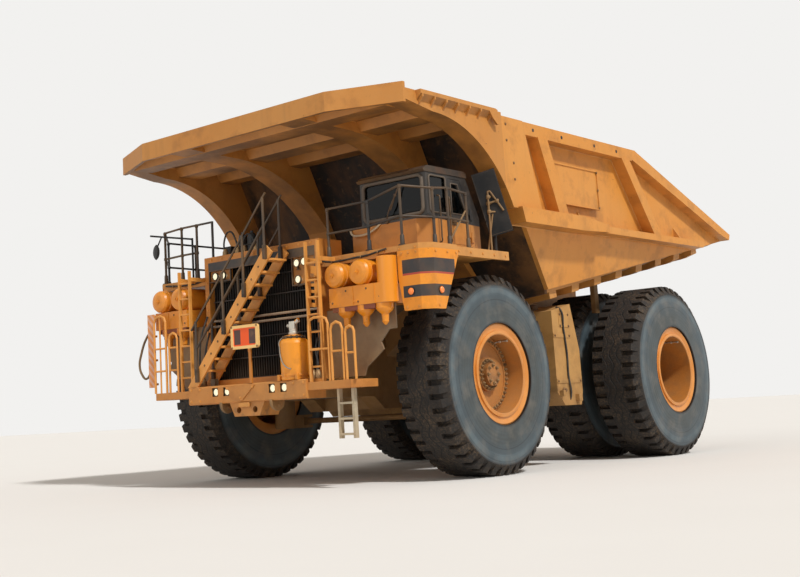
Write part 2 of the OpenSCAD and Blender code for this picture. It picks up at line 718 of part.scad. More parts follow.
// Handrails of the deck, of the hood and of the diagonal stair
module handrails() color("#24211f") along() {
    rail_run(left_posts);
    mirror([1, 0, 0]) rail_run(right_posts);
    // Bow from the right deck down to the hood
    bar([-1770, -2380, deck_z + 1040], [-1330, -2380, deck_z + 1040], rail_r);
    bar([-1330, -2380, hood_z + seam], [-1330, -2380, deck_z + 1055], post_r);
    // Stair rails: each row stands on the front side of its stringer
    for (y = [-stair_front, -stair_rear]) {
        for (x = stair_posts)
            bar([x, y - seam - post_r, stair_z(x) - 40], [x, y - seam - post_r,
                stair_z(x) + stair_rail_h], post_r);
        bar([stair_posts[0] - 120, y - seam - post_r, stair_z(stair_posts[0] - 120) + stair_rail_h - 20],
            [stair_high_x, y - seam - post_r, stair_z(stair_high_x) + stair_rail_h - 20], rail_r);
        bar([stair_posts[0], y - seam - post_r, stair_z(stair_posts[0]) + stair_rail_h / 2],
            [stair_posts[3], y - seam - post_r, stair_z(stair_posts[3]) + stair_rail_h / 2], rail_r);
    }
}

// Diagonal stair across the radiator: two stringers and flat treads
stair_low_x = -1330;
stair_high_x = 690;
stair_low_z = bumper_top + 60;
stair_high_z = hood_z - 110;
stair_front = 2960;
stair_rear = 2560;
stringer_t = 40;
stringer_h = 200;
tread_count = 11;
tread_pitch = (stair_high_x - stair_low_x) / tread_count;
// The rails' posts stand between two treads each
stair_posts = [for (i = [0, 4, 7, 10]) stair_low_x + (i + 0.6) * tread_pitch];
stair_rail_h = 1000;
function stair_z(x) = stair_low_z
    + (x - stair_low_x) * (stair_high_z - stair_low_z) / (stair_high_x - stair_low_x);
module front_stair() color("#d98f2b") along() {
    stair_l = norm([stair_high_x - stair_low_x, stair_high_z - stair_low_z]);
    stair_a = atan2(stair_high_z - stair_low_z, stair_high_x - stair_low_x);
    intersection() {
        for (y = [-stair_front, -stair_rear]) translate([stair_low_x, y, stair_low_z]) rotate([0,
            -stair_a, 0])
            translate([-200, 0, -stringer_h / 2]) cube([stair_l + 200, stringer_t, stringer_h]);
        span([-2200, -3000, bumper_top], [1500, -2500, hood_z]);
    }
    for (i = [1 : tread_count - 1]) let (x = stair_low_x + i * tread_pitch)
        span([x, -stair_front + stringer_t - bite, stair_z(x)],
            [x + 220, -stair_rear + bite, stair_z(x) + 35]);
}

// Access: upright ladders to the deck, tube loops round the platforms, the hung step ladder
platform_z = bumper_top - 60 + seam;
ladder_x0 = 1460;
ladder_w = 310;
ladder_y = -2900;
tube_r = 22;
platform_loops = [
    // x of the two posts, height of the top, one row a loop
    [1505, 1940, 2800], [1995, 2250, 2690], [2310, 2500, 2600]];
cage_loops = [
    // The same on the right platform
    [1860, 2090, 2840], [2180, 2505, 3180]];
module upright_ladder(top) {
    for (x = [ladder_x0, ladder_x0 + ladder_w - 30]) {
        span([x, ladder_y, platform_z], [x + 30, ladder_y + 60, top]);
        span([x, ladder_y + 60 - bite, deck_z - deck_t], [x + 30, -deck_front - seam, deck_z - 20]);
    }
    for (z = [platform_z + 250 : 290 : top - 150])
        roll(ladder_x0 + 15, ladder_x0 + ladder_w - 15, ladder_y + 30, z, 18);
}
module access_ladders() color("#d98f2b") along() {
    upright_ladder(deck_z + 250);
    mirror([1, 0, 0]) upright_ladder(deck_z + 100);
    // Slotted plate beside the left ladder
    difference() {
        span([ladder_x0 + 2, ladder_y + 60 - bite, 3000], [ladder_x0 + 22, -2620, 3700]);
        for (z = [3070 : 110 : 3600]) span([ladder_x0, ladder_y + 110, z], [ladder_x0 + 30, -2680, z + 60]);
    }
    for (p = platform_loops) {
        tube_loop(p[0], p[1], -2925, platform_z, p[2], tube_r);
        roll(p[0], p[1], -2925, (platform_z + p[2]) / 2, 18);
    }
    mirror([1, 0, 0]) {
        for (p = cage_loops) {
            tube_loop(p[0], p[1], -2880, platform_z, p[2], tube_r);
            for (z = [2150 : 420 : p[2] - 200]) roll(p[0], p[1], -2880, z, 18);
        }
        bar([2345, -2880, platform_z], [2345, -2880, 3180], 16);
    }
    // Step ladder under the left platform
    for (x = [2000, 2310]) span([x - 25, -2820, 800], [x + 25, -2740, bumper_top - 190 - seam]);
    for (z = [850 : 250 : 1500]) span([2000, -2840, z], [2310, -2720, z + 35]);
}

// Air cleaners: two round canisters over a box with its pre-cleaner cups, and the upright drum
cleaner_r = 220;
cleaner_z = deck_z - deck_edge - seam - cleaner_r;
canister_x = [1960, 2500];
cup_x = [2040, 2455, 2860];
cup_r = 145;
cup_y = -2535;
box_z0 = 2940;
box_z1 = cleaner_z - cleaner_r + 10;
// Canister along y, from its crowned lid to the rear, as [radius, length]
module canister() rotate([-90, 0, 0]) rotate_extrude($fn = 64) polygon([
    [0, 0], [120, 8], [185, 30], [cleaner_r - 12, 70], [cleaner_r - 12, 150], [cleaner_r, 158],
    [cleaner_r, 186], [cleaner_r - 12, 194], [cleaner_r - 12, 800], [0, 800]]);
// Pre-cleaner cup with its dust tube, as [radius, height]
module cup() rotate_extrude($fn = 64) polygon([
    [0, -290], [55, -290], [62, -180], [85, -160], [cup_r - 22, -125], [cup_r, -85], [cup_r, bite],
        [0, bite]]);
// Both canisters on their box, which reaches out to x1
module cleaner_set(x1) {
    for (x = canister_x) translate([x, -2780, cleaner_z]) canister();
    span([1790, -2680, box_z0], [x1, -1900, box_z1]);
    for (x = cup_x) if (x - cup_r < x1) translate([x, cup_y, box_z0]) cup();
}
drum_x = 2930;
module air_cleaners() color("#d98f2b") along() {
    cleaner_set(drum_x);
    mirror([1, 0, 0]) cleaner_set(right_corner_in);
    // Upright drum beside the left box
    translate([drum_x, -2510, box_z0]) cylinder(h = deck_z - deck_edge - seam - box_z0, r = 170);
}

// Cab: lower body with a cut corner, upper body with the windows and the door's opening
cab_x1 = cab_x + cab_w;
cab_y0 = -cab_front;
cab_y1 = cab_y0 + cab_d;
cab_z0 = deck_z + seam;
sill_z = deck_z + 650;
roof_t = 110;
roof_z = deck_z + cab_h - roof_t;
head_z = roof_z - 50;
pillar = 90;
door_y0 = cab_y0 + 630;
door_y1 = cab_y1 - 280;
door_z0 = deck_z + 130;
door_z1 = roof_z - 60;
door_gap = 6;
quarter_y1 = door_y0 - 70;
inner_pane_y1 = cab_y1 - cab_rake - 160;
// Outline of the door in Y and Z, smaller all round by d
module door_outline(d) polygon([
    [door_y0 + d, door_z0 + d], [door_y1 - d, door_z0 + d], [door_y1 - d, door_bend_z],
    [door_y1 - d - rake * (door_z1 - d - door_bend_z), door_z1 - d], [door_y0 + d, door_z1 - d]]);
// Door hinge: axis, knuckle radius and the knuckles' heights
hinge_knuckle_r = 18;
door_axis_x = cab_x1 + hinge_knuckle_r + 1;
door_axis_y = door_y1 - door_gap / 2;
knuckle_h = 90;
function knuckle_z(i) = door_z0 + 60 + i * 400;
// Lean of the rear edge: how far it comes forward for each unit of height
rake = cab_rake / (roof_z - sill_z);
rake_angle = atan(rake);
// The door's rear edge leans too, from this height on
door_bend_z = knuckle_z(1) + 2 * knuckle_h;
// Side outline of the upper body in Y and Z, moved in by d at the rear
module cab_side_outline(d) polygon([
    [cab_y0 - 10, cab_z0 - 10], [cab_y1 - d, cab_z0 - 10],
    [cab_y1 - d, sill_z - d * (1 / cos(rake_angle) - 1)],
    [cab_y1 - d / cos(rake_angle) - rake * (roof_z + 20 - sill_z), roof_z + 20],
        [cab_y0 - 10, roof_z + 20]]);
// Frame of the leaning rear wall: x across, z up along the wall, y through it
rear_wall_l = cab_rake / sin(rake_angle);
module at_rear_wall() translate([0, cab_y1, sill_z]) rotate([rake_angle, 0, 0]) children();
module rear_window(d) rounded([cab_x + pillar + d, 70 + d],
    [cab_x1 - pillar - d, rear_wall_l - 110 - d], window_r - d);
// Plan of the lower body, moved in by d
module cab_plan(d) polygon([
    [cab_x + d, cab_y0 + d], [cab_x1 - cab_chamfer - d * tan(22.5), cab_y0 + d],
    [cab_x1 - d, cab_y0 + cab_chamfer + d * tan(22.5)], [cab_x1 - d, cab_y1 - d], [cab_x + d, cab_y1 - d]]);
// Outline of a front or rear window in X and Z, smaller all round by d
module wide_window(d) rounded([cab_x + pillar + d, sill_z + d], [cab_x1 - pillar - d, head_z - d],
    window_r - d);
// Outline of a side window in Y and Z
module side_window(y0, y1, d) rounded([y0 + d, sill_z + d], [y1 - d, head_z - d], 30 - d);
module cab_shell() color("#d98f2b") along() difference() {
    union() {
        xy(cab_z0, sill_z - 60) cab_plan(0);
        intersection() {
            span([cab_x, cab_y0, sill_z - 60 - bite], [cab_x1, cab_y1, roof_z - seam]);
            yz(cab_x, cab_x1) cab_side_outline(0);
        }
        // Step box between the cab and the hood
        span([deck_x0 + 20, cab_y0, cab_z0], [cab_x + bite, cab_y1 - 300, sill_z - 80]);
        for (i = [0, 1]) {
            translate([door_axis_x, door_axis_y, knuckle_z(i)]) cylinder(h = knuckle_h,
                r = hinge_knuckle_r);
            span([cab_x1 - bite, door_axis_y, knuckle_z(i)],
                [door_axis_x, door_y1 + 60, knuckle_z(i) + knuckle_h]);
        }
    }
    xy(cab_z0 + 80, sill_z) cab_plan(cab_wall);
    intersection() {
        span([cab_x + cab_wall, cab_y0 + cab_wall, sill_z - bite],
            [cab_x1 - cab_wall, cab_y1, roof_z + 10]);
        yz(cab_x, cab_x1) cab_side_outline(cab_wall);
    }
    // Windows: front and rear, the inner side, and the quarter pane ahead of the door
    xz(cab_y0 - 10, cab_y0 + cab_wall + 10) wide_window(0);
    at_rear_wall() xz(-cab_wall - 10, 10) rear_window(0);
    yz(cab_x - 10, cab_x + cab_wall + 10) side_window(cab_y0 + pillar, inner_pane_y1, 0);
    yz(cab_x1 - cab_wall - 10, cab_x1 + 10) side_window(cab_y0 + pillar, quarter_y1, 0);
    // Door opening
    yz(cab_x1 - cab_wall - 10, cab_x1 + 10) door_outline(0);
}

roof_y1 = cab_y1 - cab_rake + 20;
// Roof slab with its visor over the windscreen
module cab_roof() color("#24211f") along() yz(cab_x - 20, cab_x1 + 20) polygon([
    [cab_y0 - 40, roof_z], [roof_y1, roof_z], [roof_y1 - 15, roof_z + roof_t - 30],
    [roof_y1 - 80, roof_z + roof_t], [cab_y0 + 40, roof_z + roof_t], [cab_y0 - 80, roof_z + 40]]);

module cab_glass() color("#1b2226") along() {
    m = (cab_wall - glass_t) / 2;
    xz(cab_y0 + m, cab_y0 + m + glass_t) wide_window(seam);
    at_rear_wall() xz(-m - glass_t, -m) rear_window(seam);
    yz(cab_x + m, cab_x + m + glass_t) side_window(cab_y0 + pillar, inner_pane_y1, seam);
    yz(cab_x1 - m - glass_t, cab_x1 - m) side_window(cab_y0 + pillar, quarter_y1, seam);
}

door_pane_y0 = door_y0 + door_gap + 70;
door_pane_y1 = door_y1 - door_gap - 100;
door_pane_z0 = sill_z + 20;
door_pane_z1 = door_z1 - door_gap - 70;
// Outline of the door's pane in Y and Z, smaller all round by d
module door_pane(d) polygon([
    [door_pane_y0 + d, door_pane_z0 + d], [door_pane_y1 - d, door_pane_z0 + d],
    [door_pane_y1 - d - rake * (door_pane_z1 - d - door_pane_z0), door_pane_z1 - d],
    [door_pane_y0 + d, door_pane_z1 - d]]);
module cab_door() color("#d98f2b") along() difference() {
    union() {
        yz(cab_x1 - cab_wall, cab_x1) door_outline(door_gap);
        for (i = [0, 1]) {
            translate([door_axis_x, door_axis_y, knuckle_z(i) + knuckle_h + seam])
                cylinder(h = knuckle_h, r = hinge_knuckle_r);
            span([cab_x1 - bite, door_y1 - 70, knuckle_z(i) + knuckle_h + seam],
                [door_axis_x, door_axis_y, knuckle_z(i) + 2 * knuckle_h + seam]);
        }
    }
    yz(cab_x1 - cab_wall - 10, cab_x1 + 10) door_pane(0);
}
module cab_door_glass() color("#1b2226") along() {
    m = (cab_wall - glass_t) / 2;
    yz(cab_x1 - m - glass_t, cab_x1 - m) door_pane(seam);
}

// Seat with its base, the console and the steering wheel
module cab_seat() color("#35322e") along() {
    x = cab_x + cab_w * 0.55;
    y = cab_y0 + 950;
    z = cab_z0 + 80 + seam;
    span([x - 180, y - 180, z], [x + 180, y + 180, z + 330]);
    span([x - 250, y - 260, z + 320], [x + 250, y + 260, z + 460]);
    span([x - 240, y + 150, z + 440], [x + 240, y + 270, z + 1050]);
    xy(z, z + 640) intersection() {
        cab_plan(cab_wall + 20);
        span_plan(cab_x, cab_y0, cab_x1, cab_y0 + 330);
    }
    bar([x, cab_y0 + 320, z + 560], [x, cab_y0 + 520, z + 760], 25);
    translate([x, cab_y0 + 520, z + 760]) rotate([45, 0, 0]) rotate_extrude() translate([210,
        0]) circle(r = 18, $fn = 16);
    translate([x, cab_y0 + 520, z + 760]) rotate([45, 0, 0]) span([-200, -20, -12], [200, 20, 12]);
}

// Hoist cylinders, drawn along +z from the base pin and then leaned
module at_hoist() translate([hoist_x, hoist_base_y, hoist_base_z]) rotate([hoist_lean, 0, 0]) children();
barrel_l = hoist_l - 330;
module hoist_barrels() color("#c98a2c") along() both_sides() at_hoist() difference() {
    union() {
        roll(-hoist_r + 5, hoist_r - 5, 0, 0, hoist_eye_r);
        cylinder(h = barrel_l, r = hoist_r);
    }
    roll(-hoist_r, hoist_r, 0, 0, hoist_pin_r + pin_play);
    translate([0, 0, 160]) cylinder(h = barrel_l, r = sleeve_r + pin_play);
}
module hoist_sleeves() color("#9a9a98") along() both_sides() at_hoist() difference() {
    translate([0, 0, 170]) cylinder(h = barrel_l - 170 + 60, r = sleeve_r);
    translate([0, 0, 200]) cylinder(h = barrel_l, r = rod_r + pin_play);
}
module hoist_rods() color("#b5b5b2") along() both_sides() at_hoist() difference() {
    union() {
        translate([0, 0, 210]) cylinder(h = hoist_l - 210, r = rod_r);
        roll(-rod_eye_w / 2, rod_eye_w / 2, 0, hoist_l, hoist_eye_r);
    }
    roll(-rod_eye_w, rod_eye_w, 0, hoist_l, hoist_pin_r);
}

// Space between the bed's sides, as an outline in X and Z
module bed_inside() polygon([
    [-bed_in, bed_top + 1000], [bed_in, bed_top + 1000], [bed_in, wall_knee_z],
    [bed_in - side_lean, bed_low_z], [bed_in - side_lean, 1500],
    [-bed_in + side_lean, 1500], [-bed_in + side_lean, bed_low_z], [-bed_in, wall_knee_z]]);

// Circle of the arch at the canopy's side, in Y and Z
module arch_circle(r) translate([wall_top_y - 2051, bed_top - 2729]) circle(r = r, $fn = 144);

// Outline of a side wall in Y and Z: it reaches forward to the arch, under the canopy
module bed_side_outline() difference() {
    polygon([
        [wall_top_y, bed_top], [rail_end_y, bed_top], [tail_y, tail_z], [tail_y, tail_z - tail_h],
        [wall_foot_y, bed_low_z], [wall_knee_y, wall_knee_z], [wall_top_y + 150, ledge_z + 60],
            [wall_top_y, ledge_z + 200]]);
    arch_circle(arch_r);
}

side_ribs = [
    // y of the front edge at the top and at the ledge
    [1410, 2030],
    [4630, 5800]];
side_rib_w = 340;
// Front end of the ledge at its top, the rail that it tapers to, and the taper's two ends
ledge_y = wall_top_y + 330;
thin_ledge_h = 140;
taper_y0 = 2700;
taper_y1 = 3680;
// Framed blank plate: its corners in Y and Z, its thickness, its frame and the spacers behind it
plate_y = [1990, 3800];
plate_z = [4950, 5750];
plate_t = 25;
plate_rim = 30;
plate_gap = 70;
module side_plate() {
    x0 = bed_half + plate_gap;
    span([x0, plate_y[0], plate_z[0]], [x0 + plate_t, plate_y[1], plate_z[1]]);
    for (y = [plate_y[0] + 210, plate_y[1] - 240], z = [plate_z[0] + 100, plate_z[1] - 150])
        roll(bed_half - bite, x0 + bite, y, z, 40);
    for (z = [plate_z[0], plate_z[1] - plate_rim])
        span([x0, plate_y[0], z], [x0 + plate_t + 20, plate_y[1], z + plate_rim]);
    for (y = [plate_y[0], plate_y[1] - plate_rim])
        span([x0, y, plate_z[0]], [x0 + plate_t + 20, y + plate_rim, plate_z[1]]);
}
module bed_side() {
    face = bed_half - bite;
    rail_low = bed_top - top_rail_h;
    rail_face = bed_half + rib_out - rail_step;
    thin_z = ledge_z - 90;
    intersection() {
        yz(2000, 4000) bed_side_outline();
        xz(0, tail_y) polygon([
            [bed_in, bed_top], [bed_half, bed_top], [bed_half, wall_knee_z],
            [bed_half - side_lean, bed_low_z], [bed_in - side_lean, bed_low_z], [bed_in, wall_knee_z]]);
    }
    // Corner post at the front, with a sloped return to the side's face
    intersection() {
        yz(face, bed_half + post_out) difference() {
            polygon([[wall_top_y, bed_top], [2400, bed_top], [2400, ledge_z - 20],
                [wall_top_y + 150, ledge_z - 20], [wall_top_y + 150, ledge_z + 60],
                    [wall_top_y, ledge_z + 200]]);
            arch_circle(arch_r);
        }
        translate([0, 900, bed_top]) rotate([15.3, 0, 0]) xy(-2200, 600) polygon([
            [face, -2000], [bed_half + post_out, -2000], [bed_half + post_out, 0], [face, 420]]);
    }
    // Ledge along the outside: deep at the front, then a thin rail to the tail
    yz(face, bed_half + ledge_out) polygon([
        [ledge_y, ledge_z], [taper_y0, ledge_z], [taper_y1, thin_z], [taper_y1, thin_z - thin_ledge_h - 10],
        [taper_y0, wall_knee_z], [ledge_y + 90, wall_knee_z]]);
    yz(face, bed_half + post_out) polygon([
        [taper_y1 - bite, thin_z - 10], [8100, thin_z - 10], [8180, thin_z - 70],
        [8100, thin_z - 10 - thin_ledge_h], [taper_y1 - bite, thin_z - 10 - thin_ledge_h]]);
    // Box rail along the top and the plate down the tail's slope
    yz(face, rail_face) polygon([
        [wall_top_y + 300, rail_low], [wall_top_y + 300, bed_top], [rail_end_y, bed_top],
        [rail_end_y - 190, rail_low]]);
    yz(face, rail_face - rail_step) polygon([
        [rail_end_y - 240, rail_low + 60], [rail_end_y - 60, bed_top], [rail_end_y, bed_top],
        [tail_y, tail_z], [tail_y - 60, tail_z - 130], [tail_y - 500, tail_z - 30]]);
    // Leaning ribs
    for (r = side_ribs) yz(face, bed_half + rib_out) polygon([
        [r[0], rail_low + 10], [r[0] + side_rib_w, rail_low + 10],
        [r[1] + side_rib_w, ledge_z - 120], [r[1], ledge_z - 120]]);
    side_plate();
}
module bed_sides() color("#dd9530") along() both_sides() bed_side();

// Floor plate, beams over the frame, cross ribs, hinge eyes and ears for the rods
floor_half = bed_in - side_lean;
module floor_vee_outline(t) polygon([
    [-bed_half, (bed_half - floor_half) * 0.3], [-floor_half, 0], [0, -floor_vee], [floor_half, 0],
    [bed_half, (bed_half - floor_half) * 0.3], [bed_half, -t + (bed_half - floor_half) * 0.3],
    [floor_half, -t], [0, -floor_vee - t], [-floor_half, -t], [-bed_half,
        -t + (bed_half - floor_half) * 0.3]]);
floor_l = (tail_y - wall_foot_y) / cos(floor_slope);
// Cross ribs under the floor: place along the floor, width and depth
function rib_y(i) = 150 + i * 850;
cross_rib_w = 260;
cross_rib_t = 200;
beam_y0 = wall_foot_y + 500;
beam_in = bed_beam_x - beam_w / 2;
module bed_floor() color("#c98a2c") along() {
    intersection() {
        translate([0, wall_foot_y, bed_low_z]) rotate([floor_slope, 0, 0]) union() {
            xz(-400, floor_l + 400) floor_vee_outline(floor_wall);
            for (i = [0 : 7]) xz(rib_y(i), rib_y(i) + cross_rib_w) floor_vee_outline(cross_rib_t);
        }
        xz(wall_foot_y + bed_wall + seam, tail_y) bed_inside();
    }
    both_sides() {
        difference() {
            union() {
                yz(bed_beam_x - beam_w / 2, bed_beam_x + beam_w / 2) polygon([
                    [beam_y0, rail_top + 40], [hinge_y, rail_top + 70],
                    [hinge_y + 180, hinge_z], [hinge_y + 300, floor_low(hinge_y + 300, beam_in) + bite],
                    [beam_y0, floor_low(beam_y0, beam_in) + bite]]);
                roll(bed_beam_x - beam_w / 2, bed_beam_x + beam_w / 2, hinge_y, hinge_z, 180);
            }
            roll(bed_beam_x - beam_w, bed_beam_x + beam_w, hinge_y, hinge_z, hinge_pin_r + pin_play);
        }
        for (x = [hoist_x - rod_eye_w / 2 - ear_gap - 40, hoist_x + rod_eye_w / 2 + ear_gap])
            yz(x, x + 40) polygon([
                [hoist_eye_y - 100, hoist_eye_z - 90], [hoist_eye_y + 100, hoist_eye_z - 90],
                [hoist_eye_y + 260, floor_low(hoist_eye_y + 260, x) + bite],
                [hoist_eye_y - 260, floor_low(hoist_eye_y - 260, x) + bite]]);
    }
}

// Front wall: it leans back to its knee, then turns further under the bed
wall_low_z = bed_low_z - floor_vee - floor_wall;
module bed_front_wall() color("#b9832f") along() intersection() {
    yz(-bed_in, bed_in) polygon([
        [wall_top_y, bed_top], [wall_top_y + bed_wall, bed_top], [wall_knee_y + bed_wall, wall_knee_z],
        [wall_foot_y + bed_wall, bed_low_z], [wall_foot_y + bed_wall, wall_low_z],
            [wall_foot_y, wall_low_z],
        [wall_foot_y, bed_low_z], [wall_knee_y, wall_knee_z]]);
    xz(0, tail_y) polygon([
        [-bed_in, bed_top], [bed_in, bed_top], [bed_in, wall_knee_z], [floor_half, bed_low_z],
        [floor_half, bed_low_z - floor_wall], [0, wall_low_z], [-floor_half, bed_low_z - floor_wall],
        [-floor_half, bed_low_z], [-bed_in, wall_knee_z]]);
}

// Canopy: plate on deep ribs, lip round the front, box ribs over the side arches, wings outside them
canopy_half = canopy_w / 2;
canopy_front = canopy_front_w / 2;
corner_x = canopy_half - 100;
corner_y = -canopy_reach + canopy_corner;
arch_x1 = bed_half + post_out;
arch_x0 = arch_x1 - arch_w;
plate_z0 = bed_top + seam;
plate_z1 = plate_z0 + canopy_wall;
module canopy_plan(d) polygon([
    [-canopy_front, -canopy_reach + d], [canopy_front, -canopy_reach + d], [corner_x - d, corner_y + d],
    [corner_x - d, corner_y + 350], [arch_x1, corner_y + 350], [arch_x1, wall_top_y - seam],
    [-arch_x1, wall_top_y - seam], [-arch_x1, corner_y + 350], [-corner_x + d, corner_y + 350],
    [-corner_x + d, corner_y + d]]);
canopy_channels = [
    // y of each channel's front edge and its width
    [-2750, 600], [-1600, 700], [-450, 550]];
wing_slats = 7;
// Arch of an inner rib: the start of its curve, its radius and its foot
rib_arch_y = -1900;
rib_arch_r = 3400;
rib_low_z = 4700;
// Post of an inner rib: its upper end inside the rib, and its thickness
rib_post_z = 5150;
rib_post_t = 170;
module canopy_wing() {
    y0 = corner_y + 350;
    y1 = wall_top_y - 220;
    xz(y0, y1 - 80) polygon([[arch_x1 - bite, plate_z0 - 110], [canopy_half, plate_z0 - 10],
        [canopy_half, plate_z1], [arch_x1 - bite, plate_z1]]);
    // Drooped rear tip
    yz(canopy_half - 40, canopy_half) polygon([[y1 - 280, plate_z0 - 10 - bite], [y1 - 200, plate_z0 - 120],
        [y1 - 60, plate_z0 - 230], [y1, plate_z0 - 220], [y1 - 30, plate_z1 - 20], [y1 - 90, plate_z1]]);
    for (i = [0 : wing_slats - 1]) let (y = y0 + 40 + i * (y1 - y0 - 260) / (wing_slats - 1))
        xz(y, y + 35) polygon([[arch_x1 - bite, plate_z0 - 190], [arch_x1 - bite, plate_z0 - 100],
            [canopy_half, plate_z0], [canopy_half, plate_z0 - 60]]);
}
module canopy_side() {
    // Box rib over the arch, in front of the bed's side and then inside it
    yz(arch_x0, arch_x1) difference() {
        polygon([[corner_y + 50, plate_z0 + bite], [wall_top_y - seam, plate_z0 + bite],
            [wall_top_y - seam, 4900],
            [wall_top_y - 2051, 4900], [wall_top_y - 2051, bed_top - 242], [corner_y + 50, bed_top - 135]]);
        arch_circle(arch_r);
    }
    yz(arch_x0, bed_in - seam) difference() {
        polygon([[wall_top_y - 10, bed_top - 10], [wall_y(bed_top - 10) - seam, bed_top - 10],
            [wall_y(ledge_z + 60) - seam, ledge_z + 60], [wall_top_y - 10, ledge_z + 60]]);
        arch_circle(arch_r);
    }
    // Inner rib: its arch, and the post that runs down the front wall
    yz(rib_x - rib_w / 2, rib_x + rib_w / 2) {
        difference() {
            polygon([[-canopy_reach + 30, plate_z0 + bite], [wall_top_y - seam, plate_z0 + bite],
                [wall_top_y - seam, bed_top], [wall_y(rib_low_z) - seam, rib_low_z],
                    [rib_arch_y, rib_low_z],
                [rib_arch_y, bed_top - 180], [-canopy_reach + 30, bed_top - 150]]);
            intersection() {
                translate([rib_arch_y, bed_top - 180 - rib_arch_r]) circle(r = rib_arch_r, $fn = 144);
                translate([rib_arch_y, rib_low_z - 10]) square([3000, 2000]);
            }
        }
        polygon([[wall_y(rib_post_z) - seam, rib_post_z], [wall_knee_y - seam, wall_knee_z],
            [wall_foot_y - 20, bed_low_z + 20], [wall_foot_y - rib_post_t, bed_low_z + 20],
            [wall_knee_y - rib_post_t, wall_knee_z - 60], [wall_y(rib_post_z) - rib_post_t, rib_post_z]]);
    }
    canopy_wing();
}
module bed_canopy() color("#b9832f") along() {
    xy(plate_z0, plate_z1) canopy_plan(10);
    // Lip along the front edge and the cut corners
    difference() {
        xy(canopy_top - lip_h, canopy_top) canopy_plan(0);
        xy(canopy_top - lip_h - 10, canopy_top + 10) {
            canopy_plan(70);
            span_plan(-4000, corner_y + 60, 4000, 1000);
        }
    }
    // Channels across the underside
    for (c = canopy_channels) yz(-arch_x0 - bite, arch_x0 + bite) polygon([
        [c[0], plate_z0 + bite], [c[0] + c[1], plate_z0 + bite],
        [c[0] + c[1] - 100, plate_z0 - channel_h], [c[0] + 100, plate_z0 - channel_h]]);
    both_sides() canopy_side();
}
module rock_ejectors() color("#33302c") along() both_sides() {
    x = (twin_in_x + twin_out_x) / 2;
    y = wall_foot_y + (rib_y(3) + 60) * cos(floor_slope);
    drop = (cross_rib_t - floor_wall) / cos(floor_slope) + seam;
    yz(x - 50, x + 50) polygon([[y, 3000], [y + 150, 3000],
        [y + 150, floor_low(y + 150, x - 50) - drop], [y, floor_low(y, x - 50) - drop]]);
}

// Mirrors: a tall panel behind the cab's side and a round one over the right deck
mirror_x = 3515;
mirror_y = -170;
mirror_z = 4720;
mirror_w = 420;
mirror_h = 1160;
mirror_turn = 31;
mirror_lean = 13;
arm_x = 1850;
arm_y = -2426;
arm_z = deck_z + 990;
module mirrors() color("#24211f") along() {
    translate([mirror_x, mirror_y, 0]) rotate([0, 0, mirror_turn]) {
        translate([0, 0, mirror_z]) rotate([0, -mirror_lean, 0])
            span([-mirror_w / 2, -25, -mirror_h / 2], [mirror_w / 2, 20, mirror_h / 2]);
        translate([0, 50, deck_z + seam]) cylinder(h = mirror_z - deck_z + 350, r = 32);
        for (z = [mirror_z - 320, mirror_z + 280]) span([-110, 15, z], [110, 60, z + 50]);
    }
    // Round mirror under the arm that reaches out over the right deck's corner
    translate([-arm_x, arm_y, deck_z + seam]) cylinder(h = 800, r = 20);
    bar([-arm_x, arm_y, deck_z + 780], [-3000, arm_y - 60, arm_z], 18);
    bar([-2690, arm_y - 45, arm_z - 60], [-2700, -2590, deck_z + 700], 14);
    translate([-2700, -2650, deck_z + 620]) rotate([-90, 0, -20]) rotate_extrude($fn = 48) polygon([
        [0, 0], [120, 12], [150, 35], [120, 60], [0, 72]]);
}

// Sign on its post: pale frame round the board, standing on the bumper
sign_x0 = -240;
sign_x1 = 430;
sign_z0 = bumper_top + 600;
sign_z1 = sign_z0 + 410;
module sign_board() color("#e06a1c") along() {
    xz(-3040, -3005) rounded([sign_x0, sign_z0], [sign_x1, sign_z1], 50);
    xz(-3055, -3035) difference() {
        rounded([sign_x0, sign_z0], [sign_x1, sign_z1], 50);
        rounded([sign_x0 + 55, sign_z0 + 50], [sign_x1 - 55, sign_z1 - 50], 30);
    }
    span([130, -3010, sign_z0 - 60], [190, -2980, sign_z1 - 60]);
    span([130, -3000, bumper_top], [190, -2975, sign_z0]);
}

// Reservoir with rounded shoulders, its neck and valve block on top, as [radius, height]
reservoir_r = 250;
module reservoir() color("#d9a13a") along() translate([1030, -2790, bumper_top]) {
    rotate_extrude($fn = 64) polygon([
        [0, 0], [reservoir_r - 30, 0], [reservoir_r - 12, 20], [reservoir_r, 620], [reservoir_r - 14, 665],
        [reservoir_r - 50, 695], [reservoir_r - 90, 705], [reservoir_r - 90, 755], [70, 770], [70, 860],
        [0, 860]]);
    span([-55, -40, 850], [55, 40, 990]);
    bar([0, 0, 950], [130, 0, 1030], 25);
}

// Lamps: two in each half of the bumper, and those on the guard's panels, as x and z
guard_lamps = [[-1152, hood_z - 375], [-944, hood_z - 375], [924, hood_z - 370], [1100, hood_z - 360],
    [943, hood_z - 660]];
lamp_depth = 60;
module lamp(x, y, z, r) translate([x, y, z]) rotate([90, 0, 0]) rotate_extrude($fn = 32) polygon([
    [0, 0], [r - 12, 0], [r, 20], [r, lamp_depth - 8], [r - 6, lamp_depth], [0, lamp_depth]]);
module lamps() color("#f2efe2") along() {
    for (x = bumper_lamps) lamp(x, -bumper_front + pocket_depth - seam, bumper_lamp_z, pocket - 12);
    for (p = guard_lamps) lamp(p.x, -guard_front + 40 - seam, p.y, 62);
}

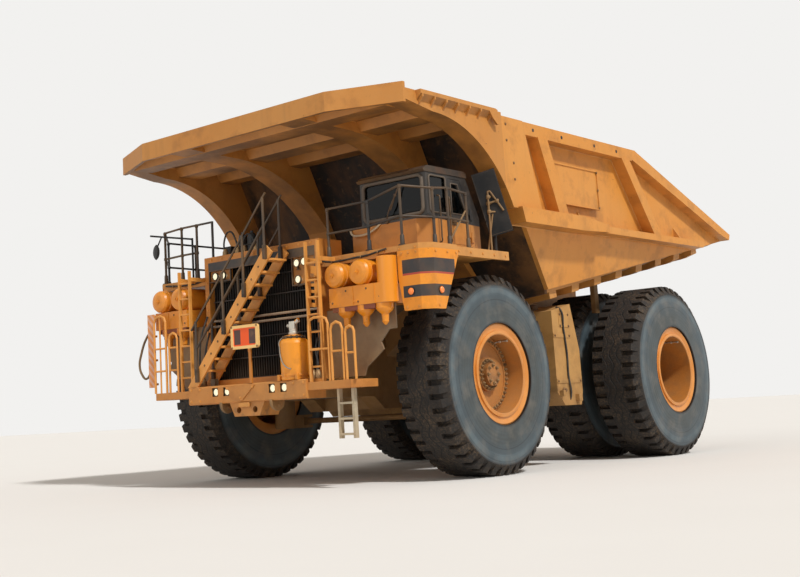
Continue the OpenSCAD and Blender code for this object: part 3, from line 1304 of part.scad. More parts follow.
// Splash plates behind the ladders, stepped along their outer edge
module splash_plan(x1) xz(-2380, -2350) intersection() {
    polygon([
        [deck_x0, bumper_top], [2220, bumper_top], [2280, 1940], [2510, 2100], [2660, 2210], [2610, 2330],
        [2790, 2520], [2950, 2530], [2950, box_z0 - seam], [deck_x0, box_z0 - seam]]);
    span_plan(0, 0, x1, deck_z);
}
module splash_plates() color("#8a7350") along() {
    splash_plan(fender_x1);
    mirror([1, 0, 0]) splash_plan(right_corner_in);
}

frame_rails();
front_bumper();
engine_block();
radiator_core();
radiator_guard();
front_deck();
handrails();
front_stair();
access_ladders();
air_cleaners();
fenders();
cab_shell();
cab_roof();
cab_glass();
cab_door();
cab_door_glass();
cab_seat();
side_tanks();
front_struts();
knuckle_left();
knuckle_right();
tie_rod();
tyre_front_left();
tyre_front_right();
tyres_rear_left();
tyres_rear_right();
wheel_front_left();
wheel_front_right();
wheels_rear_left();
wheels_rear_right();
rear_axle();
rear_struts();
drive_shaft();
hoist_barrels();
hoist_sleeves();
hoist_rods();
bed_floor();
bed_sides();
bed_front_wall();
bed_canopy();
rock_ejectors();
mirrors();
sign_board();
reservoir();
lamps();
splash_plates();
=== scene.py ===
"""Finishes, small parts and stage for a rigid mining dump truck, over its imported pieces."""
import functools
import math

import bpy
from mathutils import Matrix, Vector


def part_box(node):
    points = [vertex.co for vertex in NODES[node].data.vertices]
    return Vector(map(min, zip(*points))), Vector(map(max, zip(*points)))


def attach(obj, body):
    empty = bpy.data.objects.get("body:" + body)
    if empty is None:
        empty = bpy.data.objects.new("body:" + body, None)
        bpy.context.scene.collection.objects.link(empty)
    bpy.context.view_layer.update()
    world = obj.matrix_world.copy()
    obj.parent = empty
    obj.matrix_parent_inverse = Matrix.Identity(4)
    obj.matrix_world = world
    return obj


bl_info = {
    "name": "Mining dump truck dressing",
    "version": (1, 0, 0),
    "blender": (4, 5, 0),
    "location": "3D Viewport > Sidebar > Truck",
    "description": "Worn finishes, small parts and a pale stage for a mining dump truck",
    "category": "Object",
}

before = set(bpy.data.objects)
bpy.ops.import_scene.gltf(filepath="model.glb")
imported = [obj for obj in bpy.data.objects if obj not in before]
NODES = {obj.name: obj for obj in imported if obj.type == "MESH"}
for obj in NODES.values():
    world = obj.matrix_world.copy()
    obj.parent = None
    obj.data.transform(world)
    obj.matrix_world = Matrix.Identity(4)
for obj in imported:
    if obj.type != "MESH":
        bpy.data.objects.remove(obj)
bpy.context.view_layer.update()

# The front axle's line: lengths along the truck are measured from it, as in the part's source
tyre_low, tyre_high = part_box("tyre_front_left")
AXLE_Y = (tyre_low.y + tyre_high.y) / 2
HUB_Z = (tyre_low.z + tyre_high.z) / 2
FRONT_X = (tyre_low.x + tyre_high.x) / 2
TYRE_W = tyre_high.x - tyre_low.x
rear_low, rear_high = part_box("tyres_rear_left")
REAR_Y = (rear_low.y + rear_high.y) / 2 - AXLE_Y
REAR_X = rear_high.x - TYRE_W / 2
TWIN_X = rear_low.x + TYRE_W / 2
DECK_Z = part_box("front_deck")[1].z
HOOD_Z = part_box("radiator_guard")[1].z

# Top of the bumper's platforms, the lamps in the bumper and the pockets that they stand in
PLATFORM_Z = 1.8
BUMPER_LAMP_Z = 1.685
POCKETS = ((-0.840, -0.390), (0.573, 1.010))
POCKET_HALF_HEIGHT = 0.0765

# Middles of the deck rails' posts with their heights, as the handrails have them
RAIL_POSTS = [
    (1.6, -2.4, 0.86), (2.5, -2.4, 0.86), (3.2, -2.4, 1.02), (3.5, -1.91, 0.98),
    (3.5, -1.5, 1.02), (3.5, -0.96, 0.98), (-1.77, -2.38, 1.06), (-2.2, -2.38, 1.06),
    (-2.69, -2.38, 1.03), (-3.54, -1.56, 1.0), (-3.56, -0.8, 1.0), (-3.56, 0.06, 1.0)]

# The stair: its foot, and the slope and length of its treads
STAIR_X = -1.33
STAIR_Z = 1.86
STAIR_RISE = 2.23 / 2.02
TREAD = 2.02 / 11

# The photograph's camera: place from the front axle, turn (left, up, tilt), lens and shift
CAMERA_PLACE = (15.24, -17.89, 1.22)
CAMERA_TURN = (41.7, 9.6, -3.0)
CAMERA_LENS = 1210 / 800 * 36
CAMERA_SHIFT = (0.1, -0.1)

# Directions on the truck
LEFT, RIGHT = (1, 0, 0), (-1, 0, 0)
AHEAD, BACK, UP = (0, -1, 0), (0, 1, 0), (0, 0, 1)

# Finished materials by name
FINISHES = {}


def at(x, y, z):
    """A place on the truck: x to its left, y back from the front axle, z up from the ground."""
    return Vector((x, y + AXLE_Y, z))


def run(*points):
    """Places on the truck that a hose or bar runs through."""
    return [at(*point) for point in points]


def tone(code, alpha=1.0):
    """A colour written as six hexadecimal digits, as the shader wants it."""
    parts = [int(code[i:i + 2], 16) / 255 for i in (0, 2, 4)]
    linear = [c / 12.92 if c <= 0.04045 else ((c + 0.055) / 1.055) ** 2.4 for c in parts]
    return (*linear, alpha)


def colour_field(name, description, code):
    """A colour that the sidebar shows."""
    return bpy.props.FloatVectorProperty(
        name=name, description=description, subtype="COLOR", size=4, min=0.0, max=1.0, default=tone(code))


def width_field(name, description, least, most, default):
    """A width in metres that the sidebar shows."""
    return bpy.props.FloatProperty(
        name=name, description=description, subtype="DISTANCE", unit="LENGTH", min=least, max=most,
        default=default)


class TruckColours(bpy.types.PropertyGroup):
    """Colours of the truck's paint, rubber and dirt."""

    paint: colour_field("Paint", "Orange paint of the front and the deck", "BF7729")
    bed: colour_field("Bed paint", "Paint of the bed and the canopy", "D08A38")
    bright: colour_field("Bright paint", "Cleaner paint of the air cleaners and the reservoir", "E38C18")
    dark: colour_field("Dark paint", "Dark bands, rails and the cab's upper body", "262323")
    rubber: colour_field("Rubber", "Blue-grey sidewalls of the tyres", "3C484E")
    dust: colour_field("Dust", "Pale dust that lies on the truck", "AD8757")
    mud: colour_field("Mud", "Brown dirt on the lower parts", "5E4128")
    stripe: colour_field("Stripe", "Red stripe under the dark band of the fender", "A8382A")


class TruckSizes(bpy.types.PropertyGroup):
    """Sizes of the small parts, in metres, and the numbers of wheel nuts."""

    nut: width_field("Wheel nut", "Width of a wheel nut", 0.02, 0.08, 0.045)
    bolt: width_field("Bolt", "Width of a bolt head on the body", 0.015, 0.06, 0.034)
    front_nuts: bpy.props.IntProperty(
        name="Front nuts", description="Number of nuts on a front wheel", min=12, max=60, default=44)
    rear_nuts: bpy.props.IntProperty(
        name="Rear nuts", description="Number of nuts on a rear wheel", min=12, max=60, default=36)
    hose: width_field("Hose", "Thickness of a hose", 0.01, 0.08, 0.034)
    weld: width_field("Weld", "Width of a weld bead", 0.01, 0.05, 0.024)


def colours():
    """The scene's truck colours."""
    return bpy.context.scene.truck_colours


def sizes():
    """The scene's truck sizes."""
    return bpy.context.scene.truck_sizes


class Level:
    """A value that changes over a surface. Sums, products and powers of levels add their Math nodes."""

    def __init__(self, graph, socket):
        self.graph = graph
        self.socket = socket

    def apply(self, operation, *others, clamp=False):
        """The result of a Math node on this level and the others."""
        node = self.graph.node(
            "ShaderNodeMath", {"operation": operation, "use_clamp": clamp},
            dict(enumerate([self, *others])))
        return Level(self.graph, node.outputs[0])

    def __add__(self, other):
        return self.apply("ADD", other)

    __radd__ = __add__

    def __mul__(self, other):
        return self.apply("MULTIPLY", other)

    __rmul__ = __mul__

    def __sub__(self, other):
        return self.apply("SUBTRACT", other)

    def __rsub__(self, other):
        return self.apply("MULTIPLY_ADD", -1.0, other)

    def __pow__(self, other):
        return self.apply("POWER", other)

    def rise(self, start, end):
        """0 up to start, 1 from end on, and even in between."""
        scale = 1.0 / (end - start)
        return self.apply("MULTIPLY_ADD", scale, -start * scale, clamp=True)

    def size(self):
        """The level without its sign."""
        return self.apply("ABSOLUTE")

    def wave(self):
        """The level's sine."""
        return self.apply("SINE")

    def above(self, edge):
        """1 where the level is over the edge, else 0."""
        return self.apply("GREATER_THAN", edge)

    def most(self, other):
        """The larger of two levels."""
        return self.apply("MAXIMUM", other)

    def within(self, low, high, soft):
        """1 between low and high, with soft edges."""
        return self.rise(low - soft, low + soft) * (1 - self.rise(high - soft, high + soft))


class Graph:
    """The nodes of a material or of the world, in the making."""

    def __init__(self, owner):
        owner.use_nodes = True
        self.tree = owner.node_tree
        self.tree.nodes.clear()

    def node(self, kind, settings=None, inputs=None):
        """A node of that kind: its settings first, then values or links of its sockets."""
        made = self.tree.nodes.new(kind)
        for key, value in (settings or {}).items():
            setattr(made, key, value)
        self.plug(made, inputs or {})
        return made

    def plug(self, node, inputs):
        """Gives sockets their values or links. A colour may be six hexadecimal digits."""
        for key, value in inputs.items():
            if isinstance(value, Level):
                value = value.socket
            if isinstance(value, str):
                value = tone(value)
            if isinstance(value, bpy.types.NodeSocket):
                self.tree.links.new(value, node.inputs[key])
            else:
                node.inputs[key].default_value = value


class Finish(Graph):
    """A material in the making, with the patterns that this truck's surfaces share."""

    def __init__(self, name):
        self.name = name
        self.material = bpy.data.materials.new(name)
        super().__init__(self.material)
        self.shader = self.node("ShaderNodeBsdfPrincipled")
        self.node("ShaderNodeOutputMaterial", {}, {"Surface": self.shader.outputs[0]})
        self.place = self.node("ShaderNodeTexCoord").outputs["Object"]
        parts = self.node("ShaderNodeSeparateXYZ", {}, {0: self.place})
        self.x, self.y, self.z = (Level(self, socket) for socket in parts.outputs)
        self.y = self.y - AXLE_Y
        self.patterns = {}

    def noise(self, scale, detail=5.0, stretch=(1.0, 1.0, 1.0), rough=0.55):
        """Cloudy pattern of so many waves a metre, drawn out along the axes by stretch."""
        key = (scale, detail, stretch, rough)
        if key not in self.patterns:
            place = self.place
            if stretch != (1.0, 1.0, 1.0):
                place = self.node("ShaderNodeVectorMath", {"operation": "MULTIPLY"},
                                  {0: self.place, 1: stretch}).outputs[0]
            made = self.node("ShaderNodeTexNoise", {},
                             {"Vector": place, "Scale": scale, "Detail": detail, "Roughness": rough})
            self.patterns[key] = Level(self, made.outputs["Fac"])
        return self.patterns[key]

    def facing(self, axis):
        """How far a face looks along an axis, from -1 to 1, in the piece's own frame."""
        if "normal" not in self.patterns:
            normal = self.node("ShaderNodeTexCoord").outputs["Normal"]
            self.patterns["normal"] = self.node("ShaderNodeSeparateXYZ", {}, {0: normal})
        return Level(self, self.patterns["normal"].outputs[axis])

    def upward(self):
        """1 on faces that look up and -1 on those that look down."""
        return self.facing(2)

    def radius(self, y):
        """Distance from the axis of the wheels at y."""
        dy = self.y - y
        dz = self.z - HUB_Z
        return (dy * dy + dz * dz) ** 0.5

    def blend(self, share, first, second):
        """First colour where share is 0, second where it is 1."""
        made = self.node("ShaderNodeMix", {"data_type": "RGBA"}, {0: share, 6: first, 7: second})
        return made.outputs[2]

    def bump(self, height, strength, depth):
        """Lets the surface rise and fall with a level."""
        made = self.node("ShaderNodeBump", {}, {"Strength": strength, "Distance": depth, "Height": height})
        self.plug(self.shader, {"Normal": made.outputs[0]})

    def finish(self, colour, roughness, metallic=0.0, **others):
        """Sets the shader's sockets, files the material under its name and gives it back."""
        sockets = {"Base Color": colour, "Roughness": roughness, "Metallic": metallic}
        for key, value in others.items():
            sockets[key.replace("_", " ").title().replace("Ior", "IOR")] = value
        self.plug(self.shader, sockets)
        FINISHES[self.name] = self.material
        return self.material


def weathered(made, colour, dust=0.35, mud=0.2, rough=0.42, bumpy=0.25, runs=0.3):
    """Dust, runs of dirt, faded patches and chips over a colour that is already laid."""
    broad = made.noise(0.5, 4.0)
    cloudy = made.noise(2.3, 8.0, rough=0.62)
    fine = made.noise(23.0, 6.0, rough=0.6)
    streak = made.noise(1.0, 6.0, (3.6, 3.6, 0.3))
    low = 1 - made.z.rise(0.4, 3.4)
    faded = made.blend(broad.rise(0.4, 0.75) * 0.22, colour, "E5AE68")
    dirty = streak.rise(0.52, 0.8) * broad.rise(0.42, 0.6) * (cloudy * 0.6 + 0.4) * runs
    stained = made.blend(dirty, faded, "4A3420")
    settled = (cloudy * 0.55 + broad * 0.35 + made.upward() * 0.16 + low * 0.12 + fine * 0.12)
    dusty = settled.rise(0.82 - dust, 1.22 - dust * 0.6)
    shaded = made.blend((1 - cloudy.rise(0.34, 0.5)) * 0.3, stained, "6E4420")
    powdered = made.blend(dusty * 0.6, shaded, colours().dust)
    caked = (low * 0.5 + cloudy * 0.7 + made.noise(6.0, 6.0) * 0.3).rise(1.06 - mud, 1.3 - mud * 0.5)
    covered = made.blend(caked * 0.85, powdered, colours().mud)
    chipped = made.noise(11.0, 9.0, rough=0.7).rise(0.66, 0.69) * (1 - dusty) * 0.7
    worn = made.blend(chipped, covered, "5B3B22")
    made.bump(fine * 0.5 + caked * 0.9 - chipped * 0.6 + cloudy * 0.4, bumpy, 0.006)
    return worn, (dusty * 0.32 + caked * 0.25 + fine * 0.12) + rough


def plain_paint(name, colour, **weather):
    """Worn paint of one colour."""
    made = Finish(name)
    worn, rough = weathered(made, colour, **weather)
    return made.finish(worn, rough, coat_weight=0.04, coat_roughness=0.3)


def bumper_paint():
    """Paint of the bumper, scuffed along its lower edge, with painted shade inside the lamps' pockets."""
    made = Finish("bumper_paint")
    pocket_front, pocket_back = -2.985, -2.91
    worn, rough = weathered(made, colours().paint, dust=0.36, mud=0.18)
    above_lamps = made.z - BUMPER_LAMP_Z
    scraped = (1 - above_lamps.rise(-0.36, -0.16)) * made.noise(5.0, 8.0).rise(0.5, 0.6)
    colour = made.blend(scraped * 0.5, worn, "6A5038")
    first, second = (made.x.within(*edges, 0.002) for edges in POCKETS)
    behind_face = (made.y.rise(pocket_front - 0.007, pocket_front)
                   * (1 - made.y.rise(pocket_back, pocket_back + 0.005)))
    row = above_lamps.within(-POCKET_HALF_HEIGHT, POCKET_HALF_HEIGHT, 0.001)
    # Painted shade: near black inside the lamps' pockets, behind the bumper's face
    colour = made.blend(first.most(second) * behind_face * row, colour, "1A1410")
    return made.finish(colour, rough, coat_weight=0.04, coat_roughness=0.3)


def guard_paint():
    """Paint of the radiator's guard: dark blank band and panel under its top, pale pipes lower down."""
    made = Finish("guard_paint")
    out = made.x.size()
    front = 1 - made.y.rise(-2.47, -2.455)
    band_top, band_low, panel_low = HOOD_Z - 0.105, HOOD_Z - 0.262, HOOD_Z - 0.765
    band = made.z.within(band_low, band_top, 0.004) * (1 - out.above(1.35))
    panel = made.z.within(panel_low, band_low, 0.002) * (1 - out.above(1.348))
    pipes = made.z.within(2.875, 3.025, 0.002) * (1 - out.above(1.33))
    colour = made.blend(band.most(panel) * front, colours().paint, colours().dark)
    colour = made.blend(pipes * front, colour, "8E8274")
    worn, rough = weathered(made, colour, dust=0.3, mud=0.1)
    return made.finish(worn, rough, coat_weight=0.04)


def fender_paint():
    """Paint of the fenders, with a dark blank band, a red stripe and the lamps' dark band on the left one."""
    made = Finish("fender_paint")
    band_low = 3.375
    left_front = made.x.above(3.2) * (1 - made.y.rise(-1.72, -1.715))
    bands = made.z.within(band_low, 3.60, 0.003).most(made.z.within(2.985, 3.175, 0.003))
    stripe = made.z.within(band_low - 0.03, band_low, 0.002)
    colour = made.blend(bands * left_front, colours().bright, colours().dark)
    colour = made.blend(stripe * left_front, colour, colours().stripe)
    worn, rough = weathered(made, colour, dust=0.27, mud=0.05)
    return made.finish(worn, rough, coat_weight=0.1)


def cab_paint():
    """Orange lower body and dark upper body, parted by a line that drops towards the rear."""
    made = Finish("cab_paint")
    line = made.y * -0.04 + 4.345
    over = (made.z - line).rise(-0.004, 0.004)
    worn, rough = weathered(made, colours().paint, dust=0.28, mud=0.05)
    grey = made.blend(made.noise(1.7, 6.0).rise(0.35, 0.7), "211E1C", "463F39")
    dark = made.blend(made.noise(7.0, 7.0).rise(0.55, 0.75) * 0.35, grey, "6E5F4E")
    colour = made.blend(over, worn, dark)
    return made.finish(colour, rough, coat_weight=0.05)


def stair_paint():
    """Bright orange of the stair, worn to the metal on the treads' top."""
    made = Finish("stair_paint")
    worn, rough = weathered(made, "E39A48", dust=0.3, mud=0.1)
    tread = made.upward().rise(0.9, 0.98) * made.noise(9.0, 7.0).rise(0.42, 0.6)
    colour = made.blend(tread * 0.8, worn, "6E6558")
    return made.finish(colour, rough)


def ladder_paint():
    """Orange tubes and ladders, and the pale bare step ladder that hangs under the platform."""
    made = Finish("ladder_paint")
    bare = 1 - made.z.rise(1.60, 1.605)
    colour = made.blend(bare, "DB9440", "B5AB93")
    worn, rough = weathered(made, colour, dust=0.3, mud=0.1)
    return made.finish(worn, rough, coat_weight=0.03)


def cleaner_paint():
    """Clean orange of the air cleaners, with dirt along their joints."""
    made = Finish("cleaner_paint")
    seam = made.z.within(3.700, 3.704, 0.002) + made.z.within(2.936, 2.944, 0.002)
    worn, rough = weathered(made, colours().bright, dust=0.2, mud=0.03, rough=0.32)
    colour = made.blend(seam * 0.6, worn, "6A3A20")
    return made.finish(colour, rough, coat_weight=0.15)


def scuffs(made):
    """Steel bared and stained by rock, in long drags towards the tail."""
    drags = made.noise(5.0, 9.0, (1.0, 0.16, 1.0)).rise(0.38, 0.64)
    patches = made.noise(1.3, 6.0).rise(0.4, 0.62)
    steel = made.blend(drags, "54463A", "8B8378")
    return made.blend(patches * 0.5, steel, "7A5230")


def bed_paint(name, painted_shade, colour, mud):
    """Paint of the bed: faded by the sun, scuffed by rock inside, and with painted shade on the faces that
    look down under the rails.
    """
    made = Finish(name)
    worn, rough = weathered(made, colour, dust=0.33, mud=mud, rough=0.5, runs=0.4)
    out = made.x.size()
    floor = (1 - out.rise(3.36, 3.40)) * made.upward().rise(0.05, 0.6) * made.y.rise(-0.3, 0.5)
    inward = 1 - (made.x * made.facing(0)).rise(-0.6, -0.1)
    inner_face = (1 - out.rise(3.245, 3.262)) * made.y.rise(0.3, 0.9) * inward
    scraped = (made.noise(2.4, 8.0, (1.0, 0.3, 1.0)) + (5.3 - made.z) * 0.22).rise(0.45, 0.8)
    inside = floor.most(inner_face * scraped)
    colour = made.blend(inside * 0.9, worn, scuffs(made))
    # Painted shade: faces that look down are darkened to brown, by each finish's amount
    under = (1 - made.upward().rise(-0.95, -0.35)) * painted_shade
    colour = made.blend(under * made.noise(1.1, 6.0).rise(0.3, 0.6), colour, "4E351C")
    return made.finish(colour, rough)


def front_wall_shade_and_wear():
    """Bed's front wall: ahead, near-black painted shade with rust patches and paler painted light towards its
    sides; behind, scraped by rock.
    """
    made = Finish("front_wall_shade_and_wear")
    patches = made.noise(1.8, 8.0, (1.0, 1.0, 0.5), 0.62)
    # Painted shade: the wall ahead is near black, with rust-brown patches and flecks
    painted_shade = made.blend(patches.rise(0.44, 0.66), "140E0A", "4C2F18")
    painted_shade = made.blend(made.noise(9.0, 7.0).rise(0.58, 0.72) * 0.5, painted_shade, "7A5632")
    side = made.x.size().rise(1.9, 3.3)
    # Painted light: paler patches towards the wall's sides
    lit = made.blend(side * patches.rise(0.35, 0.6) * 0.7, painted_shade, "8A5E2C")
    colour = made.blend(made.facing(1).rise(0.05, 0.3), lit, scuffs(made))
    made.bump(patches + made.noise(20.0, 6.0) * 0.4, 0.4, 0.01)
    return made.finish(colour, patches * 0.2 + 0.6)


def grimy_steel(name, colour, oil):
    """Dirty frame metal: paint under oil and dried mud."""
    made = Finish(name)
    oily = made.noise(1.6, 7.0).rise(0.5, 0.72) * oil
    base = made.blend(oily, colour, "2A221B")
    return made.finish(*weathered(made, base, dust=0.4, mud=0.32, rough=0.5, bumpy=0.4))


def tyre_rubber(name, centre_y, middles):
    """Blue-grey sidewall with its rings and a painted highlight on its outer ring, a dark bead line of
    painted shade where it meets the rim, and a dusty tread whose rubber and fine grooves are darkened with
    painted shade.
    """
    made = Finish(name)
    r = made.radius(centre_y)
    cloudy = made.noise(2.0, 7.0)
    fine = made.noise(36.0, 6.0)
    grain = made.noise(9.0, 8.0, rough=0.65)
    wall = made.blend(r.rise(1.12, 1.38), "3B403F", colours().rubber)
    wall = made.blend(cloudy.rise(0.4, 0.75) * 0.5, wall, "4E5B61")
    # Painted highlight: a pale sheen on the sidewall's raised ring, 1.40 to 1.50 m out
    wall = made.blend(r.within(1.40, 1.50, 0.03) * cloudy.rise(0.35, 0.65) * 0.3, wall, "7E8E92")
    for start, end, share in ((1.285, 1.30, 0.7), (1.505, 1.515, 0.6)):
        wall = made.blend(r.within(start, end, 0.006) * share, wall, "20282C")
    wall = made.blend(made.noise(3.0, 5.0).rise(0.48, 0.75) * 0.5, wall, "756E64")
    # Painted shade: near black where the sidewall meets the rim
    wall = made.blend(1 - r.rise(0.885, 0.93), wall, "0E0E0F")
    # The tread's dark rubber, darkened further as painted shade
    tread = made.blend(grain.rise(0.35, 0.75), "14110F", "302821")
    tread = made.blend((cloudy * 0.6 + grain * 0.4).rise(0.52, 0.75) * 0.55, tread, "54432F")
    speckled = made.noise(24.0, 9.0, rough=0.72).rise(0.5, 0.6) * cloudy.rise(0.35, 0.6)
    tread = made.blend(speckled * 0.45, tread, "6E5940")
    # Fine grooves: zigzags round the middle of the tread, and short cuts into its lugs, darkened as painted
    # shade
    turn = (made.z - HUB_Z).apply("ARCTAN2", made.y - centre_y)
    zigzag = (turn * 23.0).wave() * 0.05
    cuts = (turn * 46.0).wave().size().within(-1.0, 0.10, 0.03)
    marks = []
    for middle in middles:
        across = made.x.size() - middle
        for shift, half_width in ((0.0, 0.014), (0.15, 0.010), (-0.15, 0.010)):
            marks.append((across - zigzag - shift).size().within(-0.1, half_width, 0.004))
        marks.append(cuts * across.size().within(0.06, 0.2, 0.01))
    grooves = functools.reduce(Level.most, marks) * r.rise(1.68, 1.70)
    # Painted shade: the grooves darkened to near black
    tread = made.blend(grooves * 0.85, tread, "0B0A09")
    outer = (r + cloudy * 0.03).rise(1.535, 1.585)
    colour = made.blend(outer, wall, tread)
    rings = (r * 92.0).wave() * r.within(1.0, 1.27, 0.02) * 0.08 + r.within(1.40, 1.50, 0.01) * 0.4
    made.bump(fine * (outer * 0.7 + 0.1) + grain * outer * 1.4 + rings - grooves * 1.5, 0.6, 0.012)
    return made.finish(colour, outer * 0.3 + fine * 0.15 + 0.42)


def rim_paint(name, centre_y, dust):
    """Rim paint: clean on the flange, and thick with dust and painted shade down in the disc."""
    made = Finish(name)
    r = made.radius(centre_y)
    cloudy = made.noise(3.0, 7.0)
    fine = made.noise(30.0, 5.0)
    deep = 1 - r.rise(0.67, 0.72)
    base = made.blend(cloudy.rise(0.4, 0.7) * 0.5, "CF8436", "E0A05C")
    dusty = (deep * 0.55 + cloudy * 0.5 + fine * 0.15).rise(0.5, 1.0)
    # Dust and painted shade down in the disc; the rear rims' darker colour is painted shade
    colour = made.blend(dusty * 0.85, base, dust)
    oily = (1 - r.rise(0.2, 0.42)) * made.noise(5.0, 6.0).rise(0.4, 0.6)
    colour = made.blend(oily * 0.6, colour, "6A4A2C")
    colour = made.blend(r.within(0.86, 0.90, 0.006) * cloudy.rise(0.45, 0.6) * 0.5, colour, "7A5230")
    made.bump(fine * 0.5 + dusty, 0.25, 0.005)
    return made.finish(colour, dusty * 0.3 + fine * 0.1 + 0.33, coat_weight=0.08)


def dark_paint(name, colour, rough, dust):
    """Dark painted tube or panel with dust on it."""
    made = Finish(name)
    return made.finish(*weathered(made, colour, dust=dust, mud=0.05, rough=rough, runs=0.1, bumpy=0.15))


def metal(name, colour, rough, oil):
    """Bare metal with oil and scratches along it."""
    made = Finish(name)
    scratch = made.noise(14.0, 6.0, (6.0, 6.0, 0.3))
    cloudy = made.noise(4.0, 6.0)
    base = made.blend(cloudy.rise(0.5, 0.7) * oil, colour, "4A3C2C")
    made.bump(scratch, 0.1, 0.002)
    return made.finish(base, scratch * 0.25 + cloudy * 0.15 + rough, 0.9)


def window_glass():
    """Tinted pane, dusty along its lower edge."""
    made = Finish("window_glass")
    cloudy = made.noise(3.0, 6.0)
    low = 1 - (made.z - DECK_Z - 0.65).rise(0.0, 0.28)
    dusty = (cloudy * 0.6 + low * 0.5).rise(0.6, 1.15) * 0.22
    colour = made.blend(dusty, "030506", "6A5C48")
    made.bump(cloudy, 0.03, 0.002)
    return made.finish(colour, dusty * 0.5 + 0.06, alpha=0.88, specular_ior_level=0.3)


def grille_dark():
    """Dark fins of the radiator, paler with dust towards their foot."""
    made = Finish("grille_dark")
    fine = made.noise(18.0, 6.0)
    cloudy = made.noise(1.2, 6.0)
    base = made.blend(cloudy.rise(0.35, 0.75), "12100F", "3A3129")
    colour = made.blend((1 - made.z.rise(1.9, 2.35)) * fine * 0.8, base, "5E4A34")
    made.bump(fine, 0.3, 0.004)
    return made.finish(colour, fine * 0.2 + 0.55)


def sign_face():
    """Pale yellow frame, orange middle and dark brown side panels, all blank."""
    made = Finish("sign_face")
    low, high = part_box("sign_board")
    across = (made.x - (low.x + high.x) / 2).size()
    up = made.z - high.z
    inner = (1 - across.rise(0.277, 0.283)) * up.within(-0.36, -0.05, 0.003) * made.y.rise(-3.052, -3.045)
    sides = across.within(0.105, 0.262, 0.003) * up.within(-0.335, -0.075, 0.003) * inner
    cloudy = made.noise(6.0, 7.0)
    colour = made.blend(inner, "F2C67E", "F0570E")
    colour = made.blend(sides, colour, "4A2F28")
    post = 1 - up.rise(-0.424, -0.42)
    colour = made.blend(post, colour, colours().paint)
    colour = made.blend(cloudy.rise(0.55, 0.8) * 0.25, colour, colours().dust)
    made.bump(cloudy, 0.1, 0.004)
    return made.finish(colour, cloudy * 0.2 + 0.35)


def lamp_lens(name, colour, strength):
    """Ridged lens of a lamp that glows a little."""
    made = Finish(name)
    ridge = (made.x * 260.0).wave() * 0.5 + 0.5
    made.bump(ridge, 0.35, 0.004)
    shade = made.blend(ridge * 0.12, colour, "FFF4DC")
    return made.finish(shade, 0.12, emission_color=shade, emission_strength=strength)


def rough_plastic(name, colour, rough):
    """Moulded plastic or rubber with a fine grain."""
    made = Finish(name)
    grain = made.noise(60.0, 4.0)
    cloudy = made.noise(5.0, 6.0)
    base = made.blend(cloudy.rise(0.45, 0.75) * 0.4, colour, "7A6A56")
    made.bump(grain, 0.2, 0.002)
    return made.finish(base, grain * 0.15 + rough)


def mirror_back():
    """Dark panel of a mirror, dusty, with a fine grain."""
    made = Finish("mirror_back")
    cloudy = made.noise(3.0, 6.0)
    base = made.blend(cloudy.rise(0.35, 0.7), "121213", "2E2A27")
    made.bump(made.noise(40.0, 4.0), 0.15, 0.002)
    return made.finish(base, cloudy * 0.2 + 0.42, specular_ior_level=0.25)


def striped_plate():
    """Board with slanting pale and orange stripes, all blank."""
    made = Finish("striped_plate")
    stripes = ((made.z + made.x) * 7.0).apply("FRACT").within(0.0, 0.5, 0.02)
    colour = made.blend(stripes, "D98A4A", "D9A890")
    return made.finish(*weathered(made, colour, dust=0.3, mud=0.1))


